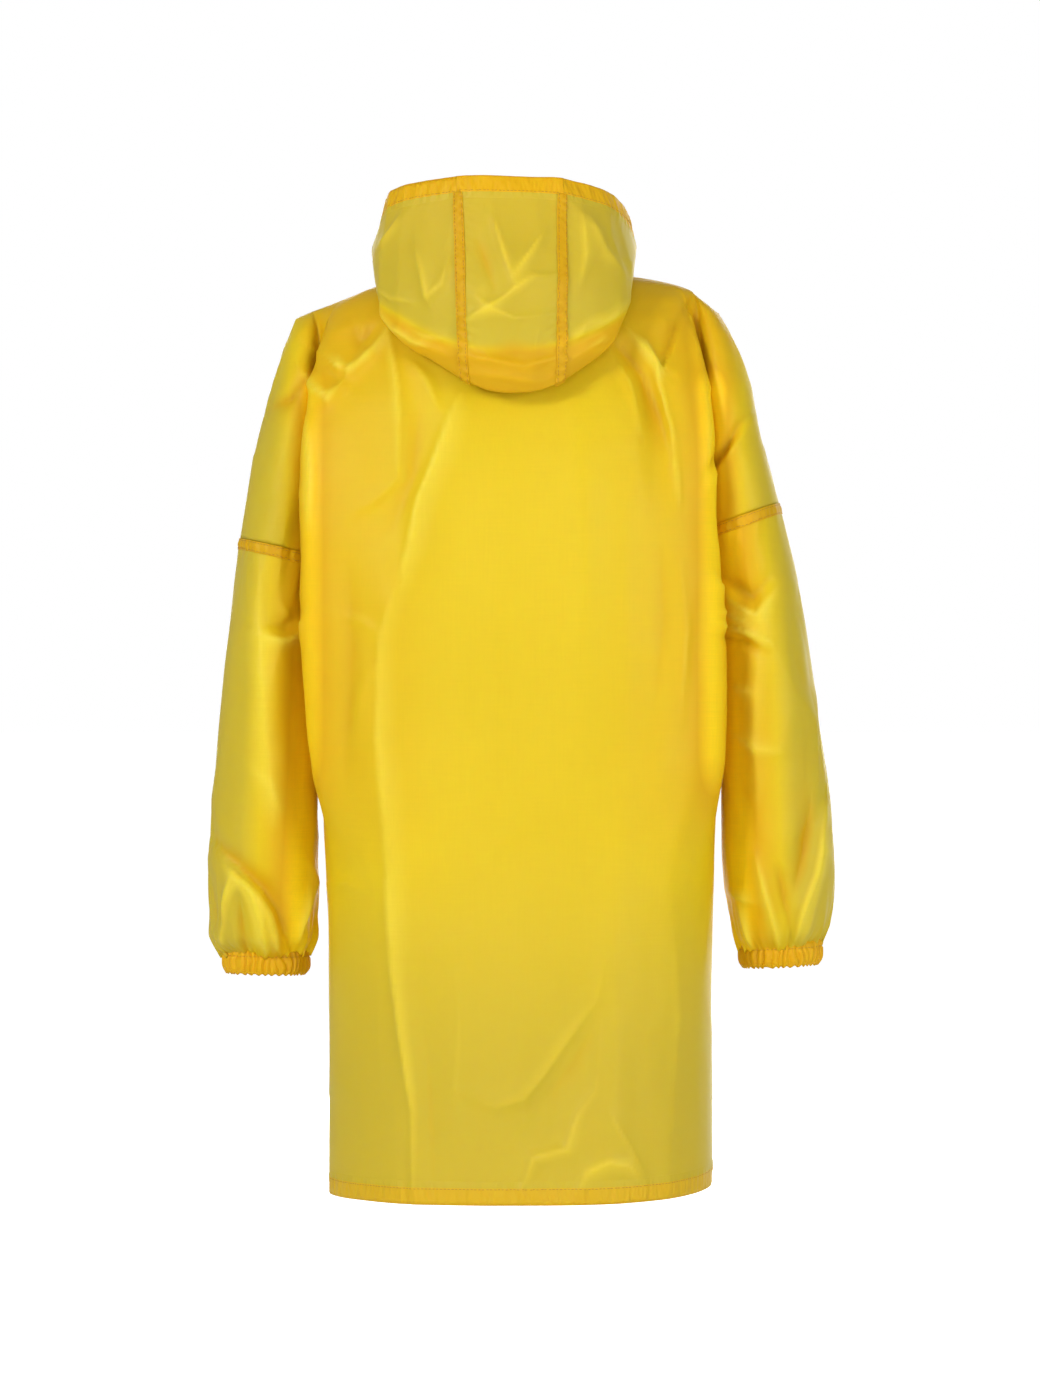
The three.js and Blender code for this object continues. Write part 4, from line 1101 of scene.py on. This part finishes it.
def stud_material():
    """Smooth moulded plastic with a trace of handling wear."""
    material, tree, shader = new_material("stud plastic")
    wear = cloudy(tree, object_place(tree), 700, 4)
    colour = bpy.context.scene.raincoat_cloth.doubled_and_shade_colour
    put(tree, shader.inputs["Base Color"], mixed(tree, wear, tuple(colour), toned(colour, 0.85)))
    put(tree, shader.inputs["Roughness"], ranged(tree, wear, 0.3, 0.7, 0.3, 0.42))
    shader.inputs["Specular IOR Level"].default_value = 0.3
    return material


# Sewing.


def stitch_places(path, surfaces):
    """Where each stitch of a row lies: its middle, its direction and the cloth's outward normal."""
    sewing = bpy.context.scene.raincoat_sewing
    pitch = sewing.stitch_length + sewing.stitch_gap
    points = resampled(path, pitch)
    places = []
    for a, b in zip(points[:-1], points[1:]):
        middle = Vector((a + b) / 2)
        on, normal, _, _ = min((s.find_nearest(middle) for s in surfaces), key=lambda hit: hit[3])
        along = Vector(b - a)
        along = (along - normal * along.dot(normal)).normalized()
        places.append((on, along, normal))
    return places


def stitches_mesh(name, places):
    """One joined mesh with a plump stitch at each place."""
    sewing = bpy.context.scene.raincoat_sewing
    width = sewing.thread_width
    lying = Matrix.Rotation(math.pi / 2, 4, "Y")
    bm = bmesh.new()
    bmesh.ops.create_uvsphere(bm, u_segments=6, v_segments=4, radius=0.5, matrix=lying)
    bmesh.ops.scale(bm, verts=bm.verts, vec=(sewing.stitch_length, width, width * 0.9))
    one = np.array([v.co for v in bm.verts])
    sides = [[v.index for v in f.verts] for f in bm.faces]
    bm.free()
    points, faces = [], []
    for on, along, normal in places:
        turn = np.array([along, normal.cross(along), normal])
        start = len(points) * len(one)
        points.append(one @ turn + np.array(on + normal * width * 0.12))
        faces += [[start + k for k in side] for side in sides]
    mesh = bpy.data.meshes.new(name)
    mesh.from_pydata(np.concatenate(points).tolist(), [], faces)
    return mesh


def sew(name, paths, *nodes):
    """A piece of stitching along paths, on the nearest of the nodes' cloths."""
    surfaces = [FORMS[node] for node in nodes]
    places = [place for path in paths for place in stitch_places(path, surfaces)]
    return made_piece(name, stitches_mesh(name, places), thread_material())


class RAINCOAT_OT_body(Operator):
    """Makes the back and the two fronts"""

    bl_idname = "raincoat.body"
    bl_label = "Body"

    def execute(self, context):
        for cloth in BODY_CLOTHS:
            cloth_piece(cloth, coat_material())
        return {"FINISHED"}


class RAINCOAT_OT_sleeves(Operator):
    """Makes the two sleeves, gathered above the cuffs"""

    bl_idname = "raincoat.sleeves"
    bl_label = "Sleeves"

    def execute(self, context):
        for cloth in SLEEVE_CLOTHS:
            cloth_piece(cloth, coat_material())
        return {"FINISHED"}


class RAINCOAT_OT_hood(Operator):
    """Makes the three panels of the hood"""

    bl_idname = "raincoat.hood"
    bl_label = "Hood"

    def execute(self, context):
        for cloth in HOOD_CLOTHS:
            cloth_piece(cloth, coat_material())
        return {"FINISHED"}


class RAINCOAT_OT_bands(Operator):
    """Makes the turned-up hem, the rim casing and the felled seams"""

    bl_idname = "raincoat.bands"
    bl_label = "Hem and Seams"

    def execute(self, context):
        for cloth in HEM_CLOTHS + BAND_CLOTHS:
            cloth_piece(cloth, doubled_material())
        return {"FINISHED"}


class RAINCOAT_OT_cuffs(Operator):
    """Makes the two gathered elastic cuffs"""

    bl_idname = "raincoat.cuffs"
    bl_label = "Cuffs"

    def execute(self, context):
        for cuff in CUFFS:
            made_cuff(cuff, context.scene.raincoat_cuffs)
        return {"FINISHED"}


# Where the front edge is stitched, and the outline of a press stud's cap: its radius and height in mm.
FRONT_STITCH_X = 6 * MM
FRONT_STITCH_Z = range(-60, -796, -8)
STUD_PROFILE = ((0, 3.0), (2.4, 2.9), (4.4, 2.4), (5.6, 1.5), (6.4, 1.2), (6.5, 0.5), (6.4, 0.0), (0, 0.0))
STUD_STEPS = 32

# A cuff's mesh: the points to a gather, its rows, the share of the way down of its row of stitches and how
# wide and deep their dent is, how far it bulges between its edges, and the height of its lower edge's frill.
CUFF_STEPS = 8
CUFF_ROWS = 18
CUFF_STITCH_ROW = 0.3
CUFF_DENT_WIDTH = 0.05
CUFF_DENT = 0.6
CUFF_BULGE = 3.4
CUFF_INSET = 1.8
CUFF_RISE = 1.5
CUFF_FRILL = 0.9
CUFF_WALL = 1.2 * MM
CUFF_RING = 90


def waves(angle, *rows):
    """The sum of some waves round a cuff: each has its size, its turns and its shift."""
    return sum(size * math.sin(turns * angle + shift) for size, turns, shift in rows)


def cuff_place(cuff, settings, angle, down):
    """A point of a cuff, in metres, by its angle and its share of the way down."""
    middle = 2 * down - 1
    slant = waves(angle, (1.3, 3, 1.7), (1.1, 8, 0.4), (0.7, 13, cuff.x))
    phase = settings.gathers * angle + waves(angle, (1.5, 2, 1), (1.2, 5, 2), (1.0, 11, 0.1 * cuff.x))
    phase += slant * middle + 0.8 * math.sin(2.2 * math.pi * down + 6 * angle)
    puff = abs(math.cos(phase / 2)) ** 0.75 - 0.5
    uneven = 1 + waves(angle, (0.3, 3, 0.7), (0.3, 7, cuff.x), (0.25, 15, 0))
    sewn = math.exp(-(((down - CUFF_STITCH_ROW) / CUFF_DENT_WIDTH) ** 2))
    pinched = 1 - 0.35 * sewn - 0.3 * middle**4
    barrel = CUFF_BULGE * (1 - abs(middle) ** 3) - CUFF_INSET
    out = settings.gather_depth / MM * puff * uneven * pinched + barrel - CUFF_DENT * sewn
    x = cuff.x + (cuff.half_width + out) * math.cos(angle)
    y = cuff.y + (cuff.half_depth + out) * math.sin(angle)
    frill = CUFF_FRILL * math.sin(phase + 1.1) * down**4
    z = cuff.z + CUFF_RISE - down * (settings.height / MM - 0.5) + cuff.tilt * (x - cuff.x) + frill
    return Vector((x, y, z)) * MM


def made_cuff(cuff, settings):
    """A casing gathered on its elastic."""
    name = f"cuff_{cuff.side}"
    around = settings.gathers * CUFF_STEPS
    bm = bmesh.new()
    bmesh.ops.create_circle(bm, cap_ends=False, radius=1, segments=around)
    edges = bm.edges[:]
    for _ in range(CUFF_ROWS):
        made = bmesh.ops.extrude_edge_only(bm, edges=edges)["geom"]
        edges = [g for g in made if isinstance(g, bmesh.types.BMEdge)]
        verts = [g for g in made if isinstance(g, bmesh.types.BMVert)]
        bmesh.ops.translate(bm, verts=verts, vec=(0, 0, -1 / CUFF_ROWS))
    for vert in bm.verts:
        vert.co = cuff_place(cuff, settings, math.atan2(vert.co.y, vert.co.x), -vert.co.z)
    face = next(iter(bm.faces))
    middle = Vector((cuff.x, cuff.y, 0)) * MM
    if face.normal.to_2d().dot((face.calc_center_median() - middle).to_2d()) < 0:
        bmesh.ops.reverse_faces(bm, faces=bm.faces)
    FORMS[name] = BVHTree.FromBMesh(bm)
    mesh = mesh_from(bm, name)
    piece = made_piece(f"{name}_casing", mesh, doubled_material(), [name])
    shell = piece.modifiers.new("Cloth", "SOLIDIFY")
    shell.thickness = CUFF_WALL
    shell.offset = -1


class RAINCOAT_OT_stitching(Operator):
    """Makes the rows of stitches on the hem, the seams, the rim, the cuffs and the front edge"""

    bl_idname = "raincoat.stitching"
    bl_label = "Stitching"

    def execute(self, context):
        settings = context.scene.raincoat_cuffs
        for panel in ("back", "front_left", "front_right"):
            sew(f"stitches_hem_{panel}", SEAMS[f"hem_{panel}"], panel)
        for band in ("armhole_seam_left", "armhole_seam_right", "hood_seam_left", "hood_seam_right"):
            sew(f"stitches_{band}", SEAMS[band], band)
        sew("stitches_hood_rim", SEAMS["hood_rim"], "hood_left", "hood_middle", "hood_right")
        for cuff in CUFFS:
            turns = [2 * math.pi * k / CUFF_RING for k in range(CUFF_RING + 1)]
            ring = [cuff_place(cuff, settings, turn, CUFF_STITCH_ROW) for turn in turns]
            sew(f"stitches_cuff_{cuff.side}", [ring], f"cuff_{cuff.side}")
        before = [Vector((FRONT_STITCH_X, 200 * MM, z * MM)) for z in FRONT_STITCH_Z]
        found = [FORMS["front_left"].ray_cast(p, Vector((0, -1, 0)))[0] for p in before]
        sew("stitches_front_edge", [[p for p in found if p]], "front_left")
        return {"FINISHED"}


class RAINCOAT_OT_studs(Operator):
    """Makes the press studs of the front"""

    bl_idname = "raincoat.studs"
    bl_label = "Press Studs"

    def execute(self, context):
        material = stud_material()
        for name in sorted(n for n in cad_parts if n.startswith("snap_")):
            low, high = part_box(name)
            on, normal, _, _ = FORMS["front_left"].find_nearest((low + high) / 2)
            bm = bmesh.new()
            line = [bm.verts.new((r * MM, 0, z * MM)) for r, z in STUD_PROFILE]
            edges = [bm.edges.new(pair) for pair in zip(line[:-1], line[1:])]
            bmesh.ops.spin(
                bm, geom=line + edges, cent=(0, 0, 0), axis=(0, 0, 1), angle=2 * math.pi, steps=STUD_STEPS,
                use_merge=True, use_duplicate=False,
            )
            bmesh.ops.remove_doubles(bm, verts=bm.verts, dist=WELD)
            bmesh.ops.recalc_face_normals(bm, faces=bm.faces)
            turn = normal.to_track_quat("Z", "Y").to_matrix().to_4x4()
            bmesh.ops.transform(bm, matrix=Matrix.Translation(on) @ turn, verts=bm.verts)
            made_piece(f"{name}_cap", mesh_from(bm, name), material, [name])
        return {"FINISHED"}


# The soft lights: each one's place and size in metres, all turned to the coat's middle.
Lamp = namedtuple("Lamp", "name place size watts")
LAMPS = (
    Lamp("left", (-2.1, -2.6, 0.9), 0.8, 60),
    Lamp("right", (2.3, -2.5, 0.1), 1.2, 43),
    Lamp("front", (-0.2, -3.8, -0.1), 1.6, 27),
    Lamp("rear", (0.4, 3.0, -0.2), 3.0, 115),
)
COAT_MIDDLE = (0, 0, -0.35)
FLOOR_SIZE = 60
FLOOR_GLOW = 0.75
WORLD_LIGHT = 0.36
SIGHT_END = 200


def seen_strength(tree, unseen, seen):
    """A strength that differs between what the camera sees and what lights the coat."""
    sight = tree.nodes.new("ShaderNodeLightPath")
    return ranged(tree, sight.outputs["Is Camera Ray"], 0, 1, unseen, seen)


class RAINCOAT_OT_stage(Operator):
    """Makes the floor, the soft lights and the camera"""

    bl_idname = "raincoat.stage"
    bl_label = "Stage"

    def execute(self, context):
        settings = context.scene.raincoat_stage
        scene = context.scene
        bm = bmesh.new()
        bmesh.ops.create_grid(bm, x_segments=1, y_segments=1, size=FLOOR_SIZE)
        bmesh.ops.translate(bm, verts=bm.verts, vec=(0, 0, settings.floor_height))
        mesh = mesh_from(bm, "floor")
        floor = bpy.data.objects.new("floor", mesh)
        scene.collection.objects.link(floor)
        material, tree, shader = new_material("pale floor")
        shader.inputs["Base Color"].default_value = (0.8, 0.8, 0.8, 1)
        shader.inputs["Roughness"].default_value = 0.9
        shader.inputs["Emission Color"].default_value = (1, 1, 1, 1)
        put(tree, shader.inputs["Emission Strength"], seen_strength(tree, 0.0, FLOOR_GLOW))
        mesh.materials.append(material)

        world = bpy.data.worlds.new("studio")
        scene.world = world
        world.use_nodes = True
        background = world.node_tree.nodes["Background"]
        background.inputs["Color"].default_value = (1, 1, 1, 1)
        strength = seen_strength(world.node_tree, WORLD_LIGHT, 1.0)
        put(world.node_tree, background.inputs["Strength"], strength)

        for lamp in LAMPS:
            light = bpy.data.lights.new(lamp.name, "AREA")
            light.size = lamp.size
            light.energy = lamp.watts
            carrier = bpy.data.objects.new(lamp.name, light)
            carrier.location = lamp.place
            towards = Vector(COAT_MIDDLE) - Vector(lamp.place)
            carrier.rotation_euler = towards.to_track_quat("-Z", "Y").to_euler()
            scene.collection.objects.link(carrier)

        camera = bpy.data.objects.new("camera", bpy.data.cameras.new("camera"))
        camera.data.sensor_fit = "HORIZONTAL"
        camera.data.angle = 2 * math.atan(settings.view_width / 2 / settings.camera_distance)
        camera.location = (0, -settings.camera_distance, settings.camera_height)
        camera.rotation_euler = (math.pi / 2, 0, 0)
        camera.data.clip_end = SIGHT_END
        scene.collection.objects.link(camera)
        scene.camera = camera
        scene.view_settings.view_transform = "Standard"
        return {"FINISHED"}


class RAINCOAT_OT_declare(Operator):
    """An empty step that makes and states nothing"""

    bl_idname = "raincoat.declare"
    bl_label = "Cut"

    def execute(self, context):
        return {"FINISHED"}


class RAINCOAT_PT_panel(Panel):
    """Lists the coat's pieces and settings"""

    bl_label = "Raincoat"
    bl_space_type = "VIEW_3D"
    bl_region_type = "UI"
    bl_category = "Raincoat"

    def draw(self, context):
        layout = self.layout
        for settings in SETTINGS:
            group = getattr(context.scene, settings)
            for name in group.bl_rna.properties.keys():
                if name not in ("rna_type", "name"):
                    layout.prop(group, name)
        for operator in OPERATORS:
            layout.operator(operator.bl_idname)


SETTINGS = {
    "raincoat_cloth": RaincoatCloth,
    "raincoat_sewing": RaincoatSewing,
    "raincoat_cuffs": RaincoatCuffs,
    "raincoat_stage": RaincoatStage,
}
OPERATORS = (
    RAINCOAT_OT_stage,
    RAINCOAT_OT_body,
    RAINCOAT_OT_sleeves,
    RAINCOAT_OT_hood,
    RAINCOAT_OT_bands,
    RAINCOAT_OT_cuffs,
    RAINCOAT_OT_stitching,
    RAINCOAT_OT_studs,
    RAINCOAT_OT_declare,
)


def register():
    for group in SETTINGS.values():
        bpy.utils.register_class(group)
    for operator in OPERATORS:
        bpy.utils.register_class(operator)
    bpy.utils.register_class(RAINCOAT_PT_panel)
    for name, group in SETTINGS.items():
        setattr(bpy.types.Scene, name, PointerProperty(type=group))


def unregister():
    for name in SETTINGS:
        delattr(bpy.types.Scene, name)
    bpy.utils.unregister_class(RAINCOAT_PT_panel)
    for operator in reversed(OPERATORS):
        bpy.utils.unregister_class(operator)
    for group in SETTINGS.values():
        bpy.utils.unregister_class(group)


def main():
    register()
    for operator in OPERATORS:
        group, name = operator.bl_idname.split(".")
        getattr(getattr(bpy.ops, group), name)()


if __name__ == "__main__":
    main()
